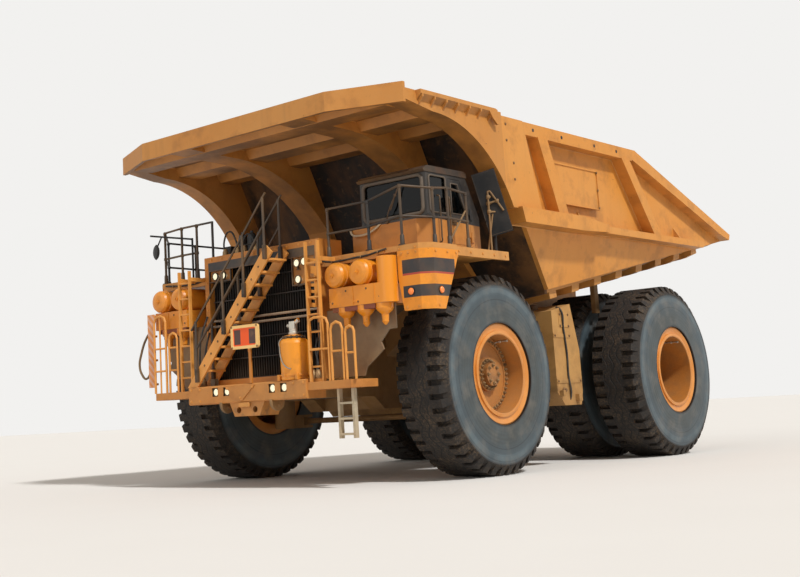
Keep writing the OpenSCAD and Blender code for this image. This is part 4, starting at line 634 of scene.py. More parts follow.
def make_finishes():
    """Makes every finish of the truck."""
    for make in (bumper_paint, guard_paint, fender_paint, cab_paint, stair_paint, ladder_paint,
                 cleaner_paint, front_wall_shade_and_wear, grille_dark, window_glass, sign_face, mirror_back,
                 striped_plate):
        make()
    for name, colour, weather in (
            # name, colour, how it has weathered
            ("deck_paint", "CB8A3E", {"dust": 0.42, "mud": 0.05}),
            ("reservoir_paint", "EC930E", {"dust": 0.16, "mud": 0.05, "rough": 0.32}),
            ("paint_bolt", "D08A38", {"dust": 0.3, "mud": 0.1}),
            ("weld_bead", "C98F49", {"dust": 0.3, "mud": 0.1, "bumpy": 0.9}),
            ("bright_paint", colours().bright, {"dust": 0.24, "mud": 0.04})):
        plain_paint(name, colour, **weather)
    for name, painted_shade, colour, mud in (
            # name, painted shade on faces that look down, colour, mud
            # The canopy's colour is the bed paint darkened as painted shade
            ("bed_paint", 0.3, colours().bed, 0.12), ("canopy_paint_and_shade", 0.75, "BE7D34", 0.12),
            ("floor_paint", 0.5, "BE8440", 0.3)):
        bed_paint(name, painted_shade, colour, mud)
    for name, colour, oil in (
            # name, colour, oil
            ("tank_paint", "B98A4C", 0.25), ("frame_grime", "8A673A", 0.5), ("axle_grime", "7C5E38", 0.5),
            ("engine_grime", "55493A", 0.7), ("splash_grime", "7E6A52", 0.45)):
        grimy_steel(name, colour, oil)
    for name, colour, rough, dust in (
            # name, colour, roughness, dust
            ("roof_paint", "2A2522", 0.5, 0.1), ("dark_tube", "1D1A18", 0.42, 0.03),
            ("grimy_bolt", "6A4C30", 0.55, 0.3), ("black_part", "181615", 0.5, 0.02),
            ("bracket_brown", "6E5638", 0.55, 0.3), ("rusty_strip", "8A4B36", 0.6, 0.2)):
        dark_paint(name, colour, rough, dust)
    for name, colour, rough, oil in (
            # name, colour, roughness, oil
            ("chrome_rod", "C9CCCE", 0.16, 0.1), ("bare_steel", "8B8680", 0.34, 0.4),
            ("nut_steel", "A08460", 0.4, 0.5), ("pale_metal", "C9C4B8", 0.38, 0.15)):
        metal(name, colour, rough, oil)
    for name, colour, rough in (
            # name, colour, roughness
            ("seat_cloth", "2E2B29", 0.75), ("black_rubber", "201F1E", 0.62), ("cable_cream", "C9B79A", 0.55),
            ("hose_grey", "8C8578", 0.5), ("window_frame", "5E5348", 0.6)):
        rough_plastic(name, colour, rough)
    for name, colour, glow in (
            # name, colour, strength of its glow
            ("lamp_lens", "F6F0CF", 0.55), ("amber_lens", "EE7406", 0.2), ("red_lens", "A81E16", 0.12)):
        lamp_lens(name, colour, glow)
    tyre_rubber("front_tyre", 0.0, [FRONT_X])
    tyre_rubber("rear_tyre", REAR_Y, [TWIN_X, REAR_X])
    # Disc colours: dust and painted shade; the rear one is darker as painted shade
    rim_paint("front_rim", 0.0, "8E6238")
    rim_paint("rear_rim", REAR_Y, "5E3F22")


NODE_FINISHES = {
    # Finish: the CAD nodes that wear it
    "bumper_paint": ["front_bumper"],
    "deck_paint": ["front_deck"],
    "guard_paint": ["radiator_guard"],
    "fender_paint": ["fenders"],
    "cab_paint": ["cab_shell", "cab_door"],
    "roof_paint": ["cab_roof"],
    "stair_paint": ["front_stair"],
    "ladder_paint": ["access_ladders"],
    "cleaner_paint": ["air_cleaners"],
    "bed_paint": ["bed_sides"],
    "canopy_paint_and_shade": ["bed_canopy"],
    "front_wall_shade_and_wear": ["bed_front_wall"],
    "floor_paint": ["bed_floor"],
    "tank_paint": ["side_tanks"],
    "frame_grime": ["frame_rails", "knuckle_left", "knuckle_right", "hoist_barrels", "tie_rod"],
    "axle_grime": ["rear_axle", "drive_shaft", "rock_ejectors"],
    "engine_grime": ["engine_block"],
    "splash_grime": ["splash_plates"],
    "front_tyre": ["tyre_front_left", "tyre_front_right"],
    "rear_tyre": ["tyres_rear_left", "tyres_rear_right"],
    "front_rim": ["wheel_front_left", "wheel_front_right"],
    "rear_rim": ["wheels_rear_left", "wheels_rear_right"],
    "dark_tube": ["handrails"],
    "grille_dark": ["radiator_core"],
    "chrome_rod": ["hoist_rods", "front_struts"],
    "bare_steel": ["hoist_sleeves", "rear_struts"],
    "window_glass": ["cab_glass", "cab_door_glass"],
    "seat_cloth": ["cab_seat"],
    "reservoir_paint": ["reservoir"],
    "lamp_lens": ["lamps"],
    "sign_face": ["sign_board"],
    "mirror_back": ["mirrors"],
}


class TRUCK_OT_finish_nodes(bpy.types.Operator):
    """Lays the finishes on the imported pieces"""

    bl_idname = "truck.finish_nodes"
    bl_label = "Finish the packed pieces"

    def execute(self, context):
        make_finishes()
        for finish, names in NODE_FINISHES.items():
            for name in names:
                slots = NODES[name].material_slots
                for slot in slots:
                    slot.material = FINISHES[finish]
                if not slots:
                    NODES[name].data.materials.append(FINISHES[finish])
        missed = sorted(set(NODES) - set(sum(NODE_FINISHES.values(), [])))
        if missed:
            raise RuntimeError(f"no finish for {missed}")
        return {"FINISHED"}


def choose(*pieces):
    """Object mode with only these pieces selected, because an operator acts on all that is selected."""
    if bpy.context.mode != "OBJECT":
        bpy.ops.object.mode_set(mode="OBJECT")
    bpy.ops.object.select_all(action="DESELECT")
    for piece in pieces:
        piece.select_set(True)
    if pieces:
        bpy.context.view_layer.objects.active = pieces[0]


def laid_down():
    """Puts the place, turn and scale of what is selected into its mesh."""
    bpy.ops.object.transform_apply(location=True, rotation=True, scale=True)
    return bpy.context.object


def modified(piece, kind, **settings):
    """A piece with a modifier of that kind applied."""
    choose(piece)
    added = piece.modifiers.new("shape", kind)
    for key, value in settings.items():
        setattr(added, key, value)
    bpy.ops.object.modifier_apply(modifier=added.name)
    return piece


def broken(piece, width):
    """Breaks the sharp edges of a piece."""
    return modified(piece, "BEVEL", width=width, segments=2, limit_method="ANGLE")


def rounded_shade(piece, angle=38):
    """Smooth shading, with edges sharper than the angle kept."""
    choose(piece)
    bpy.ops.object.shade_smooth_by_angle(angle=math.radians(angle))
    return piece


def edited(piece):
    """Edit mode on a piece with all of it selected."""
    choose(piece)
    bpy.ops.object.mode_set(mode="EDIT")
    bpy.ops.mesh.select_all(action="SELECT")
    return piece


def block(corner, opposite, edge=0.004):
    """A plate or bar between two opposite corners, with its edges broken."""
    low, high = (at(*map(pick, corner, opposite)) for pick in (min, max))
    choose()
    bpy.ops.mesh.primitive_cube_add(size=1.0, location=(low + high) / 2, scale=high - low)
    return broken(laid_down(), edge)


def cut(piece, spot, direction):
    """Takes away what lies beyond a plane, and closes the cut."""
    edited(piece)
    bpy.ops.mesh.bisect(plane_co=spot, plane_no=direction, use_fill=True, clear_outer=True)
    bpy.ops.object.mode_set(mode="OBJECT")
    return piece


def turned(steps, sides=24):
    """A closed shape round the z axis through steps of (radius, height)."""
    choose()
    (radius, height), *rest = steps
    bpy.ops.mesh.primitive_circle_add(vertices=sides, radius=radius, fill_type="NGON",
                                      location=(0, 0, height))
    piece = edited(laid_down())
    for next_radius, next_height in rest:
        bpy.ops.mesh.extrude_region_move(TRANSFORM_OT_translate={"value": (0, 0, next_height - height)})
        share = next_radius / radius
        bpy.ops.transform.resize(value=(share, share, 1.0), center_override=(0, 0, 0))
        radius, height = next_radius, next_height
    bpy.ops.mesh.select_all(action="SELECT")
    bpy.ops.mesh.normals_make_consistent(inside=False)
    bpy.ops.object.mode_set(mode="OBJECT")
    return rounded_shade(piece)


def band(radius, length, thickness, sides=32):
    """A hoop round the z axis that stands on the origin."""
    choose()
    bpy.ops.mesh.primitive_cylinder_add(vertices=sides, radius=radius, depth=length,
                                        end_fill_type="NOTHING", location=(0, 0, length / 2))
    piece = modified(laid_down(), "SOLIDIFY", thickness=thickness, offset=1.0)
    return rounded_shade(broken(piece, thickness * 0.2))


def tube(points, radius, bent=True, closed=False):
    """A tube through the points: bent like a hose or straight between them, with closed ends."""
    choose()
    bpy.ops.curve.primitive_bezier_curve_add(location=(0, 0, 0))
    line = bpy.context.object.data
    line.splines.clear()
    line.bevel_depth = radius
    line.bevel_resolution = 2
    line.use_fill_caps = not closed
    line.resolution_u = 6
    spline = line.splines.new("BEZIER" if bent else "POLY")
    spline.use_cyclic_u = closed
    knots = spline.bezier_points if bent else spline.points
    knots.add(len(points) - 1)
    for knot, point in zip(knots, points):
        if bent:
            knot.co = point
            knot.handle_left_type = knot.handle_right_type = "AUTO"
        else:
            knot.co = (*point, 1.0)
    bpy.ops.object.convert(target="MESH")
    piece = edited(bpy.context.object)
    bpy.ops.mesh.remove_doubles(threshold=0.0002)
    bpy.ops.mesh.normals_make_consistent(inside=False)
    bpy.ops.object.mode_set(mode="OBJECT")
    return rounded_shade(piece, 50)


def bars(paths, radius):
    """Straight-sided tubes of one radius, one for each path."""
    return [tube(path, radius, bent=False) for path in paths]


def rounded_path(place, low, high, radius):
    """Points round a rectangle with rounded corners, in the plane that place lays them in."""
    left, right = low[0] + radius, high[0] - radius
    under, over = low[1] + radius, high[1] - radius
    points = []
    for x, y, start in ((right, over, 0), (left, over, 90), (left, under, 180), (right, under, 270)):
        for step in range(5):
            turn = math.radians(start + step * 22.5)
            points.append(place(x + radius * math.cos(turn), y + radius * math.sin(turn)))
    return points


def standing(spot, toward):
    """The matrix that takes a shape made round the z axis to its spot, with z toward a direction."""
    return Matrix.LocRotScale(spot, Vector(toward).to_track_quat("Z", "Y"), None)


def set_at(piece, spot, toward=(0, 0, 1)):
    """Moves a shape made round the z axis to its spot, and turns z toward a direction."""
    choose(piece)
    piece.matrix_world = standing(spot, toward)
    return laid_down()


def joined(pieces):
    """The pieces as one."""
    choose(*pieces)
    if len(pieces) > 1:
        bpy.ops.object.join()
    return bpy.context.object


def copies(pattern, spots):
    """Copies of a shape made round the z axis, one at each (spot, direction), joined as one piece."""
    made = []
    for spot, toward in spots:
        twin = pattern.copy()
        twin.data = pattern.data.copy()
        bpy.context.collection.objects.link(twin)
        twin.matrix_world = standing(spot, toward)
        made.append(twin)
    bpy.data.objects.remove(pattern)
    choose(*made)
    laid_down()
    return joined(made)


def fit(pieces, name, finish, body="chassis"):
    """Joins pieces under one name, gives them their finish, and has them ride on their body."""
    piece = joined(pieces)
    piece.name = piece.data.name = name
    piece.data.materials.clear()
    piece.data.materials.append(FINISHES[finish])
    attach(piece, body)
    return piece


def fit_copies(pattern, spots, name, finish, body="chassis"):
    """Fits copies of one shape, one at each (spot, direction)."""
    return fit([copies(pattern, spots)], name, finish, body)


def mirrored(spots):
    """The same spots on both sides of the truck."""
    return [*spots, *((-x, y, z) for x, y, z in spots)]


def facing(spots, toward):
    """Places from the front axle, each with one direction."""
    return [(at(*spot), toward) for spot in spots]


def spaced(start, end, count):
    """Evenly spaced values from start to end."""
    return [start + (end - start) * i / (count - 1) for i in range(count)]


def nut(width):
    """Hexagonal nut on its washer, with the stud's end through it."""
    return joined([
        turned([(width * 0.75, 0.0), (width * 0.75, width * 0.12)], 12),
        turned([(width * 0.56, 0.0), (width * 0.58, width * 0.6), (width * 0.46, width * 0.7)], 6),
        turned([(width * 0.3, width * 0.5), (width * 0.3, width), (width * 0.22, width * 1.08)], 8)])


def bolt(width):
    """Hexagonal bolt head on its washer."""
    return joined([
        turned([(width * 0.8, 0.0), (width * 0.8, width * 0.12)], 10),
        turned([(width * 0.56, 0.0), (width * 0.56, width * 0.38), (width * 0.44, width * 0.46)], 6)])


def ring(x, y, radius, count, face):
    """Places round a wheel's axis at x and y, each facing out of the wheel."""
    turns = [2 * math.pi * i / count for i in range(count)]
    return [(at(x, y + radius * math.cos(a), HUB_Z + radius * math.sin(a)), (face, 0, 0)) for a in turns]


class TRUCK_OT_wheel_nuts(bpy.types.Operator):
    """Wheel nuts, hub bolts and valve stems of the six wheels"""

    bl_idname = "truck.wheel_nuts"
    bl_label = "Wheel nuts"

    def execute(self, context):
        size = sizes()
        for side, face in (("left", 1), ("right", -1)):
            wheels = [
                # body, x and y of its outer wheel, rings as (out from the wheel's middle, radius, count)
                ("front_wheel_" + side, FRONT_X, 0.0,
                 [(0.207, 0.605, size.front_nuts), (0.259, 0.245, 20), (0.349, 0.155, 8)]),
                ("rear_wheels_" + side, REAR_X, REAR_Y,
                 [(-0.181, 0.62, size.rear_nuts), (-0.157, 0.5, 24), (-0.121, 0.13, 6)])]
            for body, x, y, rings in wheels:
                spots = [spot for out, radius, count in rings
                         for spot in ring(face * (x + out), y, radius, count, face)]
                fit_copies(nut(size.nut), spots, body + "_nuts", "nut_steel", body)
                self.valve_stem(body, face, x, rings[0][0] - 0.02, y)
        return {"FINISHED"}

    def valve_stem(self, body, face, x, disc, y):
        """Stem that runs out along the rim, with its cap and clip."""
        def spot(out, radius):
            """A place out from the wheel's middle, on the line that the stem follows."""
            return at(face * (x + out), y + radius * 0.5, HUB_Z + radius * 0.866)

        stem = tube([spot(disc, 0.60), spot(disc + 0.03, 0.64), spot(disc + 0.10, 0.662),
                     spot(0.36, 0.664), spot(0.43, 0.668)], 0.011)
        cap = turned([(0.017, 0), (0.02, 0.01), (0.02, 0.05), (0.012, 0.058)], 12)
        clip = turned([(0.024, 0), (0.024, 0.03), (0.018, 0.034)], 12)
        parts = [stem, set_at(cap, spot(0.42, 0.667), (face, 0, 0)),
                 set_at(clip, spot(0.30, 0.664), (face, 0, 0))]
        fit(parts, body + "_valve", "pale_metal", body)


class TRUCK_OT_lamp_rims(bpy.types.Operator):
    """Rims and brackets of the lamps, the fenders' amber markers and the lamps at the tail"""

    bl_idname = "truck.lamp_rims"
    bl_label = "Lamp rims and markers"

    def execute(self, context):
        self.front_rims()
        self.markers()
        self.tail_lamps()
        return {"FINISHED"}

    def front_rims(self):
        """Dark rims round the bumper's lamps and those on the guard's panels, with their brackets."""
        bumper = [(x, -2.945, BUMPER_LAMP_Z) for x in (-0.759, -0.471, 0.654, 0.929)]
        guard = [(x, -2.49, z) for x, z in ((-1.152, 3.825), (-0.944, 3.825), (0.924, 3.83),
                                            (1.1, 3.84), (0.943, 3.54))]
        rims = [copies(band(0.063, 0.035, 0.009), facing(bumper, AHEAD)),
                copies(band(0.0625, 0.04, 0.012), facing(guard, AHEAD))]
        for x, y, z in guard:
            rims += [block((x - 0.012, y - 0.01, z - 0.105), (x + 0.012, y + 0.03, z - 0.06), 0.003),
                     block((x - 0.05, y + 0.012, z - 0.12), (x + 0.05, y + 0.03, z - 0.1), 0.003)]
        fit(rims, "lamp_rims", "black_part")

    def markers(self):
        """Amber domes in dark rims on the fenders' lower band."""
        z = 3.08
        spots = [(at(3.36, -2.451, z), AHEAD), (at(3.721, -2.13, z), LEFT),
                 (at(-3.166, -2.026, z), (-0.699, -0.715, 0))]
        dome = turned([(0.056, 0), (0.056, 0.012), (0.05, 0.024), (0.034, 0.034), (0.014, 0.038)], 24)
        fit_copies(dome, spots, "marker_lamps", "amber_lens")
        rims = joined([band(0.057, 0.014, 0.01, 24), turned([(0.066, 0.0), (0.066, 0.004)], 24)])
        fit_copies(rims, spots, "marker_rims", "black_part")

    def tail_lamps(self):
        """Red lamps and pale reversing lamps on brackets across the frame's tail."""
        lens = [(0.05, 0), (0.05, 0.02), (0.042, 0.034), (0.015, 0.04)]
        z = 2.44
        for name, finish, places in (("tail_lamps", "red_lens", (0.28, 0.42)),
                                     ("reversing_lamps", "lamp_lens", (0.14,))):
            spots = facing(mirrored([(x, 6.965, z) for x in places]), BACK)
            fit_copies(turned(lens), spots, name, finish)
        cup = joined([turned([(0.06, 0), (0.06, 0.016)]), band(0.051, 0.03, 0.009, 24)])
        cups = facing(mirrored([(x, 6.949, z) for x in (0.14, 0.28, 0.42)]), BACK)
        bolts = mirrored([(0.47, 6.952, 2.395), (0.47, 6.952, 2.485), (0.1, 6.952, 2.39)])
        holders = [copies(cup, cups), copies(bolt(0.028), facing(bolts, BACK))]
        for side in (-1, 1):
            holders.append(block((side * 0.07, 6.94, 2.37), (side * 0.5, 6.953, 2.51), 0.005))
        fit(holders, "tail_lamp_brackets", "black_part")


class TRUCK_OT_body_bolts(bpy.types.Operator):
    """Bolt heads on the guard, the bumper, the deck's edges, the fenders and the sign"""

    bl_idname = "truck.body_bolts"
    bl_label = "Body bolts"

    def execute(self, context):
        size = sizes().bolt
        # How far ahead the faces of the guard, the bumper and the fenders stand
        guard, bumper, fender = -2.5, -3.0, -2.45
        front = mirrored([(1.395, guard, z) for z in spaced(1.95, 3.98, 9)])
        front += [(x, guard, 4.147) for x in spaced(-1.26, 1.26, 10)]
        front += mirrored([(x, bumper, z) for x in (1.16, 1.39) for z in (1.54, 1.745)])
        front += [(x, bumper - 0.018, z) for x, z in ((-0.43, 1.735), (0.2, 1.735), (-0.1, 1.56))]
        front += [(x, fender, 3.71) for x in (3.2, 3.34, 3.5)]
        front += [(x, fender, 2.83) for x in (3.26, 3.5)]
        front += [(x, fender, 3.79) for x in spaced(1.56, 3.48, 7) + spaced(-1.56, -2.64, 4)]
        side = [(3.72, y, z) for y, z in ((-2.22, 3.71), (-1.9, 3.71), (-1.66, 3.71), (-2.2, 2.83))]
        spots = facing(front, AHEAD) + facing(side, LEFT)
        for x, toward in ((3.6, LEFT), (-3.6, RIGHT)):
            spots += facing([(x, y, 3.77) for y in spaced(-1.4, 0.0, 5)], toward)
        fit_copies(bolt(size), spots, "body_bolts", "paint_bolt")
        sign = [(x, -3.055, z) for x in (-0.213, 0.403) for z in (2.425, 2.785)]
        boxes = mirrored([(x, -2.68, z) for x, z in ((1.86, 3.02), (2.16, 3.2), (2.42, 3.0), (2.6, 3.2))])
        deck = mirrored([(x, y, DECK_Z) for x in (1.7, 2.4) for y in (-2.3, -1.9)]) + [(3.45, -2.3, DECK_Z)]
        spots = facing(sign + boxes, AHEAD) + facing(deck, UP)
        fit_copies(bolt(size * 0.7), spots, "panel_bolts", "grimy_bolt")
        return {"FINISHED"}


def stair_z(x):
    """Height of the stair's middle line at x."""
    return STAIR_Z + (x - STAIR_X) * STAIR_RISE


class TRUCK_OT_rail_fittings(bpy.types.Operator):
    """Feet and collars of the handrails' posts, and their brackets on the stair"""

    bl_idname = "truck.rail_fittings"
    bl_label = "Rail fittings"

    def execute(self, context):
        foot = joined([
            turned([(0.07, 0), (0.07, 0.012)], 20), turned([(0.04, 0), (0.035, 0.17), (0.028, 0.18)], 16),
            *[set_at(bolt(0.022), Vector((0.053 * math.cos(a), 0.053 * math.sin(a), 0.011)))
              for a in (0.8, 2.37, 3.94, 5.5)]])
        collar = turned([(0.025, 0), (0.033, 0.008), (0.033, 0.05), (0.025, 0.058)], 16)
        feet = copies(foot, facing([(x, y, DECK_Z + 0.001) for x, y, _ in RAIL_POSTS], UP))
        collars = copies(collar, facing([(x, y, DECK_Z + share * high - 0.05)
                                         for x, y, high in RAIL_POSTS for share in (0.5, 0.985)], UP))
        brackets, bolts = [], []
        for y in (-2.985, -2.585):
            for post in (0, 4, 7, 10):
                x = STAIR_X + (post + 0.6) * TREAD
                z = stair_z(x)
                low, high = (x - 0.034, y - 0.034, z - 0.1), (x + 0.034, y + 0.03, z + 0.15)
                brackets.append(block(low, high, 0.008))
                bolts += [(x, y - 0.033, z - 0.06), (x, y - 0.033, z + 0.1)]
        brackets.append(copies(bolt(0.026), facing(bolts, AHEAD)))
        fit([feet, collars, *brackets], "rail_fittings", "black_part")
        return {"FINISHED"}


class TRUCK_OT_stair_treads(bpy.types.Operator):
    """Dark nosings and gripping studs on the stair's treads, and the bolts of its stringers"""

    bl_idname = "truck.stair_treads"
    bl_label = "Stair treads"

    def execute(self, context):
        nosings, studs, bolts = [], [], []
        for step in range(1, 11):
            x = STAIR_X + step * TREAD
            top = stair_z(x) + 0.035
            nosings.append(block((x - 0.008, -2.918, top - 0.03), (x + 0.028, -2.562, top + 0.006), 0.003))
            studs += [(x + dx, -2.90 + 0.045 * i, top) for i in range(8) for dx in (0.06, 0.11, 0.16)]
            bolts.append((x + 0.1, -2.9605, stair_z(x + 0.1) + 0.005))
        fit(nosings, "stair_nosings", "black_part")
        grip = turned([(0.014, 0), (0.012, 0.004), (0.006, 0.006)], 6)
        fit_copies(grip, facing(studs, UP), "stair_studs", "nut_steel")
        fit_copies(bolt(0.026), facing(bolts, AHEAD), "stair_bolts", "grimy_bolt")
        return {"FINISHED"}


class TRUCK_OT_window_frames(bpy.types.Operator):
    """Moulded frames round the cab's windows, the wiper and the handles"""

    bl_idname = "truck.window_frames"
    bl_label = "Window frames and wiper"

    def execute(self, context):
        left = 3.153
        front = rounded_path(lambda x, z: at(x, -1.604, z), (1.775, 4.487), (3.075, 5.150), 0.09)
        frames = [tube(front, 0.034, bent=False, closed=True)]
        for x, end in ((1.697, -0.585), (left, -1.04)):
            path = rounded_path(lambda y, z: at(x, y, z), (-1.51, 4.5), (end, 5.14), 0.05)
            frames.append(tube(path, 0.017, bent=False, closed=True))
        fit(frames, "window_frames", "window_frame")
        pane = run((left, -0.894, 4.52), (left, -0.466, 4.52), (left, -0.692, 5.05), (left, -0.894, 5.05))
        fit([tube(pane, 0.015, bent=False, closed=True)], "door_pane_frame", "window_frame", "door")
        self.wiper()
        self.handles()
        return {"FINISHED"}

    def wiper(self):
        """Wiper with its motor cap, arm and blade, parked across the windscreen."""
        arm = run((2.28, -1.625, 4.44), (2.34, -1.655, 4.56), (2.52, -1.66, 4.86))
        blade = run((2.40, -1.650, 4.62), (2.53, -1.652, 4.87), (2.62, -1.650, 5.04))
        parts = [set_at(turned([(0.04, 0), (0.04, 0.02), (0.028, 0.035)]), at(2.28, -1.6, 4.44), AHEAD),
                 tube(arm, 0.011), tube(blade, 0.012),
                 block((2.5, -1.67, 4.84), (2.55, -1.645, 4.89), 0.006)]
        fit(parts, "windscreen_wiper", "black_part")

    def handles(self):
        """Grab bars at the cab's corners, and the door's handle."""
        grabs = [tube(run((3.15, y, 3.98), (3.2, y, 4.0), (3.205, y, 4.08), (3.205, y, 4.7),
                          (3.2, y, 4.78), (3.15, y, 4.8)), 0.014) for y in (-1.3, -1.02)]
        fit(grabs, "grab_bars", "dark_tube")
        bow = run((3.15, -0.9, 4.36), (3.19, -0.9, 4.36), (3.19, -0.82, 4.36), (3.15, -0.8, 4.36))
        lock = turned([(0.02, 0), (0.02, 0.012), (0.012, 0.016)], 16)
        handle = [tube(bow, 0.01), block((3.148, -0.93, 4.31), (3.158, -0.77, 4.4)),
                  set_at(lock, at(3.157, -0.85, 4.325), LEFT)]
        fit(handle, "door_handle", "black_part", "door")


class TRUCK_OT_mirror_brackets(bpy.types.Operator):
    """Brown tube brackets of the tall mirror, with the post and struts that hold them"""

    bl_idname = "truck.mirror_brackets"
    bl_label = "Mirror brackets"

    def execute(self, context):
        middle = at(3.515, -0.17, 4.72)
        turn, lean = math.radians(31), math.radians(13)
        across = Vector((math.cos(turn), math.sin(turn), 0))
        out = Vector((math.sin(turn), -math.cos(turn), 0))

        def on_panel(a, c, stand=0.047):
            """A place on the mirror's back: across it, up it and out from it."""
            side = a * math.cos(lean) - c * math.sin(lean)
            up = a * math.sin(lean) + c * math.cos(lean)
            return middle + across * side + out * stand + Vector((0, 0, up))

        def on_post(z):
            """A place on the post, which stands behind the sweep of the cab's door."""
            return at(3.545, -0.33, z)

        cross_bar = [on_panel(-0.07, 0.0), on_panel(0.09, 0.0)]
        holder = [[on_panel(-0.12, -0.2), on_panel(-0.02, 0.2)], [on_panel(0.15, -0.2), on_panel(0.02, 0.2)],
                  cross_bar, [on_panel(-0.03, 0.2), on_panel(0.03, 0.2)]]
        arms = [[on_panel(0.0, -0.18, 0.06), on_post(4.54)], [on_panel(0.0, 0.1, 0.06), on_post(4.8)]]
        stays = [[on_post(DECK_Z), on_post(4.86)], [on_panel(-0.05, -0.2, 0.06), at(3.48, -0.34, DECK_Z)],
                 run((3.5, -1.46, 3.98), (3.5, -0.99, 4.5))]
        clamp = turned([(0.03, -0.03), (0.036, -0.022), (0.036, 0.022), (0.03, 0.03)], 16)
        clamps = copies(clamp, [(spot, UP) for spot in (arms[0][1], arms[1][1], *cross_bar)])
        fit([*bars(holder, 0.018), *bars(arms + stays, 0.016), clamps], "mirror_brackets", "bracket_brown")
        rim = [on_panel(a, c, 0.012) for a, c in ((-0.2, -0.56), (0.2, -0.56), (0.2, 0.56), (-0.2, 0.56))]
        fit([tube(rim, 0.014, bent=False, closed=True)], "mirror_rim", "black_part")
        return {"FINISHED"}


class TRUCK_OT_cleaner_details(bpy.types.Operator):
    """Bands, lid bolts, joint strips and dust valves of the air cleaners"""

    bl_idname = "truck.cleaner_details"
    bl_label = "Air cleaner details"

    def execute(self, context):
        bands, knobs, strips, valves = [], [], [], []
        for side, end, valve_places in ((-1, 2.66, (2.04, 2.455)), (1, 2.79, (2.04, 2.455, 2.86))):
            for x in (1.96, 2.5):
                bands.append(set_at(band(0.209, 0.018, 0.006, 48), at(side * x, -2.62, 3.4795), BACK))
                knobs.append((side * x, -2.782, 3.4795))
            strips.append(block((side * 1.84, -2.664, 2.865), (side * (end - 0.03), -2.30, 2.945), 0.006))
            for x in (2.31, end - 0.02):
                bands.append(block((side * x, -2.687, 2.95), (side * (x + 0.014), -2.675, 3.262), 0.002))
            bands.append(block((side * 2.3, -2.695, 3.0), (side * 2.4, -2.676, 3.028)))
            valves += [(side * x, -2.535, 2.66) for x in valve_places]
        fit(bands, "cleaner_bands", "bright_paint")
        knob = joined([turned([(0.03, 0), (0.03, 0.006), (0.014, 0.012), (0.014, 0.03), (0.009, 0.034)], 16),
                       turned([(0.05, 0.006), (0.05, 0.012)], 4)])
        fit_copies(knob, facing(knobs, AHEAD), "cleaner_lid_knobs", "bright_paint")
        fit(strips, "cleaner_strips", "rusty_strip")
        valve = turned([(0.052, 0.0), (0.06, -0.012), (0.052, -0.03), (0.03, -0.06), (0.012, -0.075)], 20)
        fit_copies(valve, facing(valves, UP), "dust_valves", "bright_paint")
        return {"FINISHED"}


class TRUCK_OT_reservoir_head(bpy.types.Operator):
    """Pale head, dark studs, clamp band and thin hose of the reservoir"""

    bl_idname = "truck.reservoir_head"
    bl_label = "Reservoir head"

    def execute(self, context):
        def spot(radius, turn, z):
            """A place round the reservoir's axis, from the platform up."""
            a = math.radians(turn)
            return at(1.03 + radius * math.cos(a), -2.79 + radius * math.sin(a), PLATFORM_Z + z)

        neck = turned([(0.078, 0.0), (0.084, 0.01), (0.084, 0.05), (0.074, 0.062), (0.074, 0.098),
                       (0.068, 0.104)])
        spout = turned([(0.03, 0), (0.03, 0.05), (0.036, 0.055), (0.036, 0.085), (0.028, 0.09)], 16)
        plug = turned([(0.022, 0), (0.022, 0.05), (0.03, 0.054), (0.03, 0.07)], 6)
        head = [set_at(neck, spot(0, 0, 0.757)), block((0.967, -2.838, 2.655), (1.093, -2.742, 2.796), 0.012),
                set_at(spout, at(1.09, -2.79, 2.765), (0.86, 0, 0.5)),
                set_at(plug, at(0.97, -2.79, 2.72), (-1, 0, 0.1))]
        fit(head, "reservoir_valve", "pale_metal")
        stud = joined([turned([(0.018, 0), (0.018, 0.05), (0.014, 0.054)], 8),
                       turned([(0.026, 0.018), (0.026, 0.036)], 6)])
        studs = [copies(stud, [(spot(0.186, turn, 0.693), UP) for turn in range(0, 360, 30)]),
                 set_at(band(0.161, 0.03, 0.012, 40), spot(0, 0, 0.708))]
        fit(studs, "reservoir_studs", "black_part")
        fall = [(-118, 0.56), (-116, 0.46), (-108, 0.36), (-94, 0.27), (-78, 0.21), (-62, 0.18)]
        curve = [spot(0.262, turn, z) for turn, z in fall]
        arc = [curve[0], spot(0.27, -119, 0.61), spot(0.24, -121, 0.685), spot(0.16, -122, 0.73)]
        fit([tube(curve, 0.011), tube(arc, 0.009)], "reservoir_hose", "hose_grey")
        bolts = [(spot(0.262, turn, 0.084), spot(1, turn, 0) - spot(0, turn, 0)) for turn in (-150, -90, -30)]
        feet = [set_at(band(0.253, 0.028, 0.008, 48), spot(0, 0, 0.07)), copies(bolt(0.03), bolts)]
        for turn in (-140, -40):
            x, y, z = spot(0.27, turn, 0) - at(0, 0, 0)
            feet.append(block((x - 0.03, y - 0.03, z - 0.002), (x + 0.03, y + 0.03, z + 0.1), 0.006))
        fit(feet, "reservoir_clamp", "bright_paint")
        return {"FINISHED"}


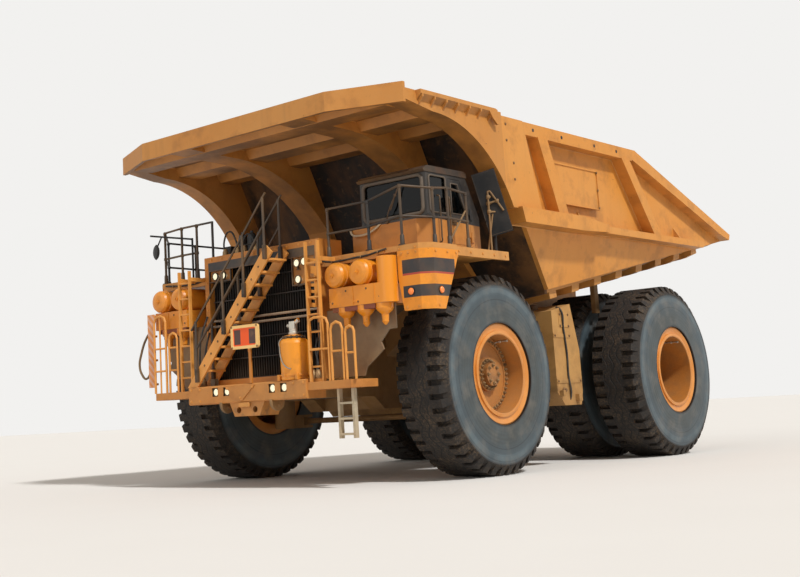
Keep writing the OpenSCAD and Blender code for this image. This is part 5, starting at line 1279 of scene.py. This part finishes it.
class TRUCK_OT_front_hoses(bpy.types.Operator):
    """Hoses beside the guard, on the hood and along the deck's edge, the cab's cable and a ladder's loop"""

    bl_idname = "truck.front_hoses"
    bl_label = "Front hoses"

    def execute(self, context):
        size = sizes().hose / 2
        hoses = [
            run((1.47, -2.465, 3.80), (1.62, -2.475, 3.765), (1.9, -2.47, 3.75), (2.2, -2.475, 3.762),
                (2.5, -2.47, 3.772), (2.72, -2.475, 3.80), (2.9, -2.47, 3.83)),
            run((-1.47, -2.465, 3.80), (-1.8, -2.47, 3.76), (-2.2, -2.475, 3.765), (-2.6, -2.47, 3.80)),
            run((-1.43, -2.72, 1.80), (-1.43, -2.72, 2.2), (-1.42, -2.68, 2.7), (-1.40, -2.52, 3.1)),
            run((-1.36, -2.70, 1.80), (-1.35, -2.7, 2.1), (-1.36, -2.62, 2.5), (-1.36, -2.52, 2.8)),
            run((1.40, -2.62, 1.80), (1.36, -2.6, 2.1), (1.42, -2.56, 2.45), (1.38, -2.52, 2.75)),
            run((1.32, -2.66, 1.80), (1.40, -2.62, 2.0), (1.33, -2.58, 2.3), (1.34, -2.52, 2.5)),
            run((-0.30, -2.28, HOOD_Z), (-0.32, -2.3, 4.42), (-0.45, -2.3, 4.55), (-0.6, -2.28, 4.45),
                (-0.62, -2.26, HOOD_Z)),
            run((-0.80, -2.25, HOOD_Z), (-0.82, -2.28, 4.5), (-0.95, -2.3, 4.66), (-1.1, -2.3, 4.5),
                (-1.12, -2.26, HOOD_Z)),
            run((-0.5, -2.12, HOOD_Z), (-0.52, -2.1, 4.36), (-0.75, -2.08, 4.40), (-0.98, -2.1, 4.34),
                (-1.0, -2.12, HOOD_Z))]
        fit([tube(path, size) for path in hoses], "front_hoses", "black_rubber")
        cable = run((1.44, -1.62, 4.40), (1.50, -1.64, 4.31), (1.66, -1.66, 4.27), (1.88, -1.65, 4.29),
                    (2.04, -1.63, 4.36), (2.12, -1.605, 4.43))
        fit([tube(cable, 0.02)], "cab_cable", "cable_cream")
        loop = run((-2.72, -2.78, 2.92), (-2.82, -2.79, 2.84), (-3.02, -2.79, 2.5), (-3.07, -2.79, 2.3),
                   (-3.0, -2.79, 2.12), (-2.88, -2.79, 2.04), (-2.74, -2.78, 2.16))
        fit([tube(loop, 0.022)], "ladder_loop", "bracket_brown")
        self.valves()
        return {"FINISHED"}

    def valves(self):
        """Unions where the hoses start, the hood's jars, a box by the stair's foot, and hose clips."""
        union = joined([
            turned([(0.05, 0), (0.055, 0.01), (0.055, 0.10), (0.04, 0.12), (0.04, 0.15), (0.028, 0.158)], 20),
            turned([(0.062, 0.03), (0.062, 0.055)], 6)])
        feet = [(x, y, PLATFORM_Z) for x, y in ((-1.43, -2.72), (-1.36, -2.7), (1.4, -2.62), (1.32, -2.66))]
        feet += [(x, y, HOOD_Z) for x, y in ((-0.3, -2.28), (-0.62, -2.26), (-0.8, -2.25), (-1.12, -2.26))]
        fit_copies(union, facing(feet, UP), "hose_unions", "nut_steel")
        jar = turned([(0.06, 0), (0.085, 0.02), (0.09, 0.06), (0.09, 0.34), (0.07, 0.4), (0.03, 0.425),
                      (0.03, 0.46), (0.022, 0.465)], 28)
        jars = [copies(jar, facing([(x, -2.0, HOOD_Z) for x in (-0.42, -0.66, -0.9)], UP)),
                block((-1.02, -2.02, HOOD_Z), (-0.3, -1.96, HOOD_Z + 0.05), 0.006),
                block((-1.28, -2.14, HOOD_Z), (-1.1, -1.97, HOOD_Z + 0.22), 0.012)]
        fit(jars, "hood_accumulators", "black_part")
        box = [block((-1.02, -2.86, PLATFORM_Z), (-0.9, -2.76, PLATFORM_Z + 0.13), 0.01),
               block((-1.035, -2.875, PLATFORM_Z), (-0.885, -2.745, PLATFORM_Z + 0.012), 0.003)]
        fit(box, "foot_box", "black_part")
        clip = turned([(0.022, 0), (0.026, 0.004), (0.026, 0.018), (0.022, 0.022)], 12)
        spots = [(x, -2.468, z) for x, z in ((1.7, 3.755), (2.35, 3.765), (2.72, 3.80), (-1.9, 3.757),
                                             (-2.4, 3.778))]
        fit_copies(clip, facing(spots, LEFT), "hose_clips", "nut_steel")


class TRUCK_OT_side_board(bpy.types.Operator):
    """Striped board on the right ladder's cage, the tow hooks and the bumper's blank plate"""

    bl_idname = "truck.side_board"
    bl_label = "Side board and tow hooks"

    def execute(self, context):
        fit([block((-2.72, -2.862, 1.86), (-2.515, -2.846, 3.24))], "side_board", "striped_plate")
        rungs = [block((-2.72, -2.846, z), (-2.49, -2.815, z + 0.04), 0.005) for z in (1.9, 2.35, 2.8, 3.18)]
        fit(rungs, "board_braces", "paint_bolt")
        hooks = []
        for x in (-0.62, 0.62):
            body = turned([(0.16, -0.03), (0.165, -0.022), (0.165, 0.022), (0.16, 0.03)], 28)
            body = set_at(body, at(x, -2.84, 1.47), LEFT)
            hooks.append(cut(body, at(x, -2.84, 1.50), UP))
            hooks.append(copies(bolt(0.05), [(at(x + s * 0.03, -2.84, 1.40), (s, 0, 0)) for s in (-1, 1)]))
        fit(hooks, "tow_hooks", "bracket_brown")
        fit([block((-0.16, -3.008, 1.40), (0.10, -2.99, 1.475), 0.006)], "blank_plate", "paint_bolt")
        return {"FINISHED"}


class TRUCK_OT_bed_welds(bpy.types.Operator):
    """Weld beads along the bed's ribs, ledges and rails, and under the canopy"""

    bl_idname = "truck.bed_welds"
    bl_label = "Bed welds"

    def execute(self, context):
        # Undersides of the rail and the canopy, and the ledge's top
        rail_z, canopy_z, ledge_z = 6.095, 6.345, 4.705
        seams = []
        for side in (-1, 1):
            face = side * 3.341
            for top, lean in ((1.41, 0.57102), (4.63, 1.07757)):
                for y in (top, top + 0.34):
                    seams.append(run((face, y, rail_z), (face, y + lean, ledge_z)))
            seams += [run((face, start, z), (face, end, z)) for start, end, z in (
                (0.62, 5.1, rail_z), (0.56, 2.7, ledge_z), (0.62, 2.68, 4.415), (3.7, 8.1, 4.605),
                (3.7, 8.1, 4.465))]
            seams += [run((side * x, start, canopy_z), (side * x, end, canopy_z)) for x, start, end in (
                (1.155, -3.1, -2.76), (1.155, -2.14, -1.61), (1.705, -3.1, -2.76), (1.705, -2.14, -1.61),
                (3.198, -2.5, -1.61))]
        fit(bars(seams, sizes().weld / 2), "bed_welds", "weld_bead", "bed")
        return {"FINISHED"}


class TRUCK_OT_bed_fittings(bpy.types.Operator):
    """Gussets at the ribs' feet, holes of the rail, bolts and wear bars of the bed"""

    bl_idname = "truck.bed_fittings"
    bl_label = "Bed fittings"

    def execute(self, context):
        gussets = []
        for side in (-1, 1):
            for y, out, ledge in ((2.37, 3.50, 4.7), (6.14, 3.48, 4.61), (3.05, 3.48, 4.61),
                                  (7.2, 3.48, 4.61)):
                plate = block((side * 3.335, y, ledge - 0.01), (side * out, y + 0.03, ledge + 0.26), 0.003)
                gussets.append(cut(plate, at(side * 3.50, y, ledge), (side * 0.26, 0, 0.16)))
        fit(gussets, "bed_gussets", "weld_bead", "bed")
        holes, bolts = [], []
        for side in (-1, 1):
            out = (side, 0, 0)
            holes += facing([(side * 3.579, y, 6.22) for y in (1.28, 2.3, 3.55, 4.45)], out)
            for y, low, high in ((0.32, 5.9, 6.2), (0.5, 5.2, 5.5)):
                bolts += facing([(side * 3.601, y, low), (side * 3.601, y, high)], out)
            bolts += facing([(side * 3.456, y, z) for y in (2.03, 3.76) for z in (4.99, 5.35, 5.71)], out)
        fit_copies(turned([(0.034, 0), (0.034, 0.003)], 20), holes, "rail_holes", "black_part", "bed")
        fit_copies(bolt(sizes().bolt), bolts, "bed_bolts", "grimy_bolt", "bed")
        self.wear_bars()
        return {"FINISHED"}

    def wear_bars(self):
        """Bars across the floor near the tail, worn bright by the load."""
        # The floor's edge, as the bed's floor has it
        front_y, front_z, tail_y, tail_z = 2.2, 3.33, 9.677, 4.75
        paths = []
        for y in (5.6, 6.35, 7.1, 7.85, 8.6, 9.3):
            edge = front_z + (y - front_y) * (tail_z - front_z) / (tail_y - front_y) + 0.012
            paths.append(run((-2.93, y, edge), (0.0, y, edge - 0.318), (2.93, y, edge)))
        fit(bars(paths, 0.022), "wear_bars", "nut_steel", "bed")


class TRUCK_OT_frame_fittings(bpy.types.Operator):
    """Pipes and hoses inside the frame, their clamps, and the bolts of the axle"""

    bl_idname = "truck.frame_fittings"
    bl_label = "Frame fittings"

    def execute(self, context):
        pipes, clamps = [], []
        for side in (-1, 1):
            x = side * 0.545
            pipes += bars([run((x, 1.30, z), (x, 4.10, z)) for z in (2.20, 2.26, 2.32)], 0.016)
            clamps += [block((side * 0.522, y, 2.17), (side * 0.571, y + 0.05, 2.35), 0.005)
                       for y in (1.5, 2.1, 2.75, 3.4, 3.95)]
            hose = run((x, 4.05, 2.26), (side * 0.5, 4.5, 2.24), (side * 0.42, 4.85, 2.1),
                       (side * 0.36, 5.15, 1.95), (side * 0.34, 5.38, 1.86))
            pipes.append(tube(hose, 0.018))
        fit(pipes, "frame_pipes", "black_rubber")
        fit(clamps, "pipe_clamps", "nut_steel")
        spots = [place for x, face in ((0.33, 1), (-0.33, -1)) for place in ring(x, REAR_Y, 0.525, 28, face)]
        turns = [2 * math.pi * i / 12 for i in range(12)]
        spots += facing([(0.21 * math.cos(a), 5.348, HUB_Z + 0.21 * math.sin(a)) for a in turns], AHEAD)
        spots += facing([(x, 2.599, z) for x in (-0.4, 0.0, 0.4) for z in (2.2, 2.36)], BACK)
        fit_copies(nut(0.05), spots, "axle_bolts", "grimy_bolt")
        return {"FINISHED"}


class TRUCK_OT_tank_fittings(bpy.types.Operator):
    """Straps, filler caps, steps and the hose of the side tanks"""

    bl_idname = "truck.tank_fittings"
    bl_label = "Tank fittings"

    def execute(self, context):
        straps, bolts, caps, hoses = [], [], [], []
        for side in (-1, 1):
            for y, z, end_y, end_z, out, edge in (
                    # Plates on the tank's outer face: two corners, how far they stand out, edge
                    (2.385, 1.55, 3.29, 1.63, 0.012, 0.004), (2.385, 2.42, 3.0, 2.50, 0.012, 0.004),
                    (2.45, 1.30, 2.53, 1.42, 0.09, 0.01), (3.02, 1.20, 3.14, 1.34, 0.09, 0.01),
                    (2.62, 2.62, 2.98, 2.9, 0.014, 0.01)):
                straps.append(block((side * 2.97, y, z), (side * (2.98 + out), end_y, end_z), edge))
            bolts += facing([(side * 2.993, y, z) for y, z in (
                (2.43, 1.59), (3.24, 1.59), (2.43, 2.46), (2.95, 2.46), (2.65, 2.65), (2.95, 2.65),
                (2.65, 2.87), (2.95, 2.87))], (side, 0, 0))
            filler = turned([(0.10, 0), (0.10, 0.03), (0.085, 0.045), (0.085, 0.10), (0.075, 0.112),
                             (0.03, 0.118)], 28)
            drain = turned([(0.05, 0), (0.05, 0.02), (0.03, 0.03), (0.03, 0.06)], 20)
            caps += [set_at(filler, at(side * 2.35, 2.75, 3.005), (0, -0.21, 0.98)),
                     set_at(drain, at(side * 2.99, 2.6, 1.42), (side, 0, 0))]
            hoses.append(run((side * 2.9, 2.70, 3.02), (side * 2.99, 2.70, 2.97), (side * 3.0, 2.74, 2.6),
                             (side * 3.0, 2.80, 2.1), (side * 2.998, 2.79, 1.7), (side * 2.996, 2.83, 1.3),
                             (side * 2.9, 2.84, 1.14)))
        fit(straps, "tank_straps", "tank_paint")
        fit_copies(bolt(0.032), bolts, "tank_bolts", "grimy_bolt")
        fit(caps, "tank_caps", "grimy_bolt")
        fit([tube(path, 0.02) for path in hoses], "tank_hoses", "black_rubber")
        return {"FINISHED"}


class TRUCK_OT_stage(bpy.types.Operator):
    """Sets the pale floor, the soft light and the camera of the photograph"""

    bl_idname = "truck.stage"
    bl_label = "Stage"

    def execute(self, context):
        bpy.ops.object.select_all(action="DESELECT")
        bpy.ops.mesh.primitive_circle_add(vertices=96, radius=240.0, fill_type="NGON", location=(0, 0, 0))
        floor = context.object
        floor.name = "floor"
        made = Finish("pale_floor")
        made.bump(made.noise(14.0, 5.0), 0.05, 0.004)
        shade = made.blend(made.noise(0.4, 4.0) * 0.4, "E9E6E1", "E2DED8")
        floor.data.materials.append(made.finish(shade, 0.9, specular_ior_level=0.1))
        self.light_world(context.scene)
        self.add_lights()
        self.add_camera(context.scene)
        context.scene.view_settings.view_transform = "Standard"
        return {"FINISHED"}

    def light_world(self, scene):
        """Even sky light on the truck, with white behind it for the camera, glass and metal."""
        scene.world = bpy.data.worlds.new("pale_world")
        made = Graph(scene.world)
        soft = made.node("ShaderNodeBackground", {}, {"Color": "FFF8F0", "Strength": 0.44})
        white = made.node("ShaderNodeBackground", {}, {"Color": "F2F1EF", "Strength": 1.0})
        rays = made.node("ShaderNodeLightPath").outputs
        seen = Level(made, rays["Is Camera Ray"])
        for kind in ("Is Glossy Ray", "Is Transmission Ray"):
            seen = seen.most(rays[kind])
        both = made.node("ShaderNodeMixShader", {}, {0: seen, 1: soft.outputs[0], 2: white.outputs[0]})
        made.node("ShaderNodeOutputWorld", {}, {"Surface": both.outputs[0]})

    def add_lights(self):
        """A broad sun from the truck's left and above, and a weak one from the front."""
        lamps = [
            # name, strength, width of the sun's disc in degrees, direction it comes from
            ("key_light", 2.6, 5.0, Vector((0.66, -0.16, 0.76))),
            ("fill_light", 0.35, 40.0, Vector((-0.15, -0.9, 0.35)))]
        for name, strength, spread, source in lamps:
            bpy.ops.object.light_add(type="SUN", location=source * 30)
            lamp = bpy.context.object
            lamp.name = name
            lamp.data.energy = strength
            lamp.data.angle = math.radians(spread)
            lamp.rotation_mode = "QUATERNION"
            lamp.rotation_quaternion = source.to_track_quat("Z", "Y")

    def add_camera(self, scene):
        """The photograph's place and lens: low by the left front wheel, looking up a little."""
        yaw, pitch, roll = (math.radians(a) for a in CAMERA_TURN)
        ahead = Vector((-math.sin(yaw) * math.cos(pitch), math.cos(yaw) * math.cos(pitch), math.sin(pitch)))
        level = Vector((math.cos(yaw), math.sin(yaw), 0.0))
        upright = level.cross(ahead)
        right = math.cos(roll) * level + math.sin(roll) * upright
        up = math.cos(roll) * upright - math.sin(roll) * level
        bpy.ops.object.camera_add()
        camera = bpy.context.object
        camera.name = "photo_camera"
        turn = Matrix((right, up, -ahead)).transposed().to_4x4()
        camera.matrix_world = Matrix.Translation(at(*CAMERA_PLACE)) @ turn
        camera.data.sensor_width = 36.0
        camera.data.lens = CAMERA_LENS
        camera.data.shift_x, camera.data.shift_y = CAMERA_SHIFT
        camera.data.clip_end = 500.0
        scene.camera = camera


class TRUCK_PT_dressing(bpy.types.Panel):
    """Lists the truck's steps and what can be changed"""

    bl_idname = "TRUCK_PT_dressing"
    bl_label = "Mining dump truck"
    bl_space_type = "VIEW_3D"
    bl_region_type = "UI"
    bl_category = "Truck"

    def draw(self, context):
        for group in (colours(), sizes()):
            for name in type(group).__annotations__:
                self.layout.prop(group, name)
        for step in STEPS:
            self.layout.operator(step.bl_idname)


STEPS = (
    TRUCK_OT_stage, TRUCK_OT_finish_nodes, TRUCK_OT_wheel_nuts, TRUCK_OT_lamp_rims, TRUCK_OT_body_bolts,
    TRUCK_OT_rail_fittings, TRUCK_OT_stair_treads, TRUCK_OT_window_frames, TRUCK_OT_mirror_brackets,
    TRUCK_OT_cleaner_details, TRUCK_OT_reservoir_head, TRUCK_OT_front_hoses, TRUCK_OT_side_board,
    TRUCK_OT_bed_welds, TRUCK_OT_bed_fittings, TRUCK_OT_frame_fittings, TRUCK_OT_tank_fittings)


def register():
    """Registers the properties, the steps and the panel."""
    for made in (TruckColours, TruckSizes, *STEPS, TRUCK_PT_dressing):
        bpy.utils.register_class(made)
    bpy.types.Scene.truck_colours = bpy.props.PointerProperty(type=TruckColours)
    bpy.types.Scene.truck_sizes = bpy.props.PointerProperty(type=TruckSizes)


def unregister():
    """Takes them away again."""
    del bpy.types.Scene.truck_sizes
    del bpy.types.Scene.truck_colours
    for made in reversed((TruckColours, TruckSizes, *STEPS, TRUCK_PT_dressing)):
        bpy.utils.unregister_class(made)


def main():
    """Runs every step in order."""
    register()
    for step in STEPS:
        getattr(bpy.ops.truck, step.bl_idname.split(".")[1])()


if __name__ == "__main__":
    main()
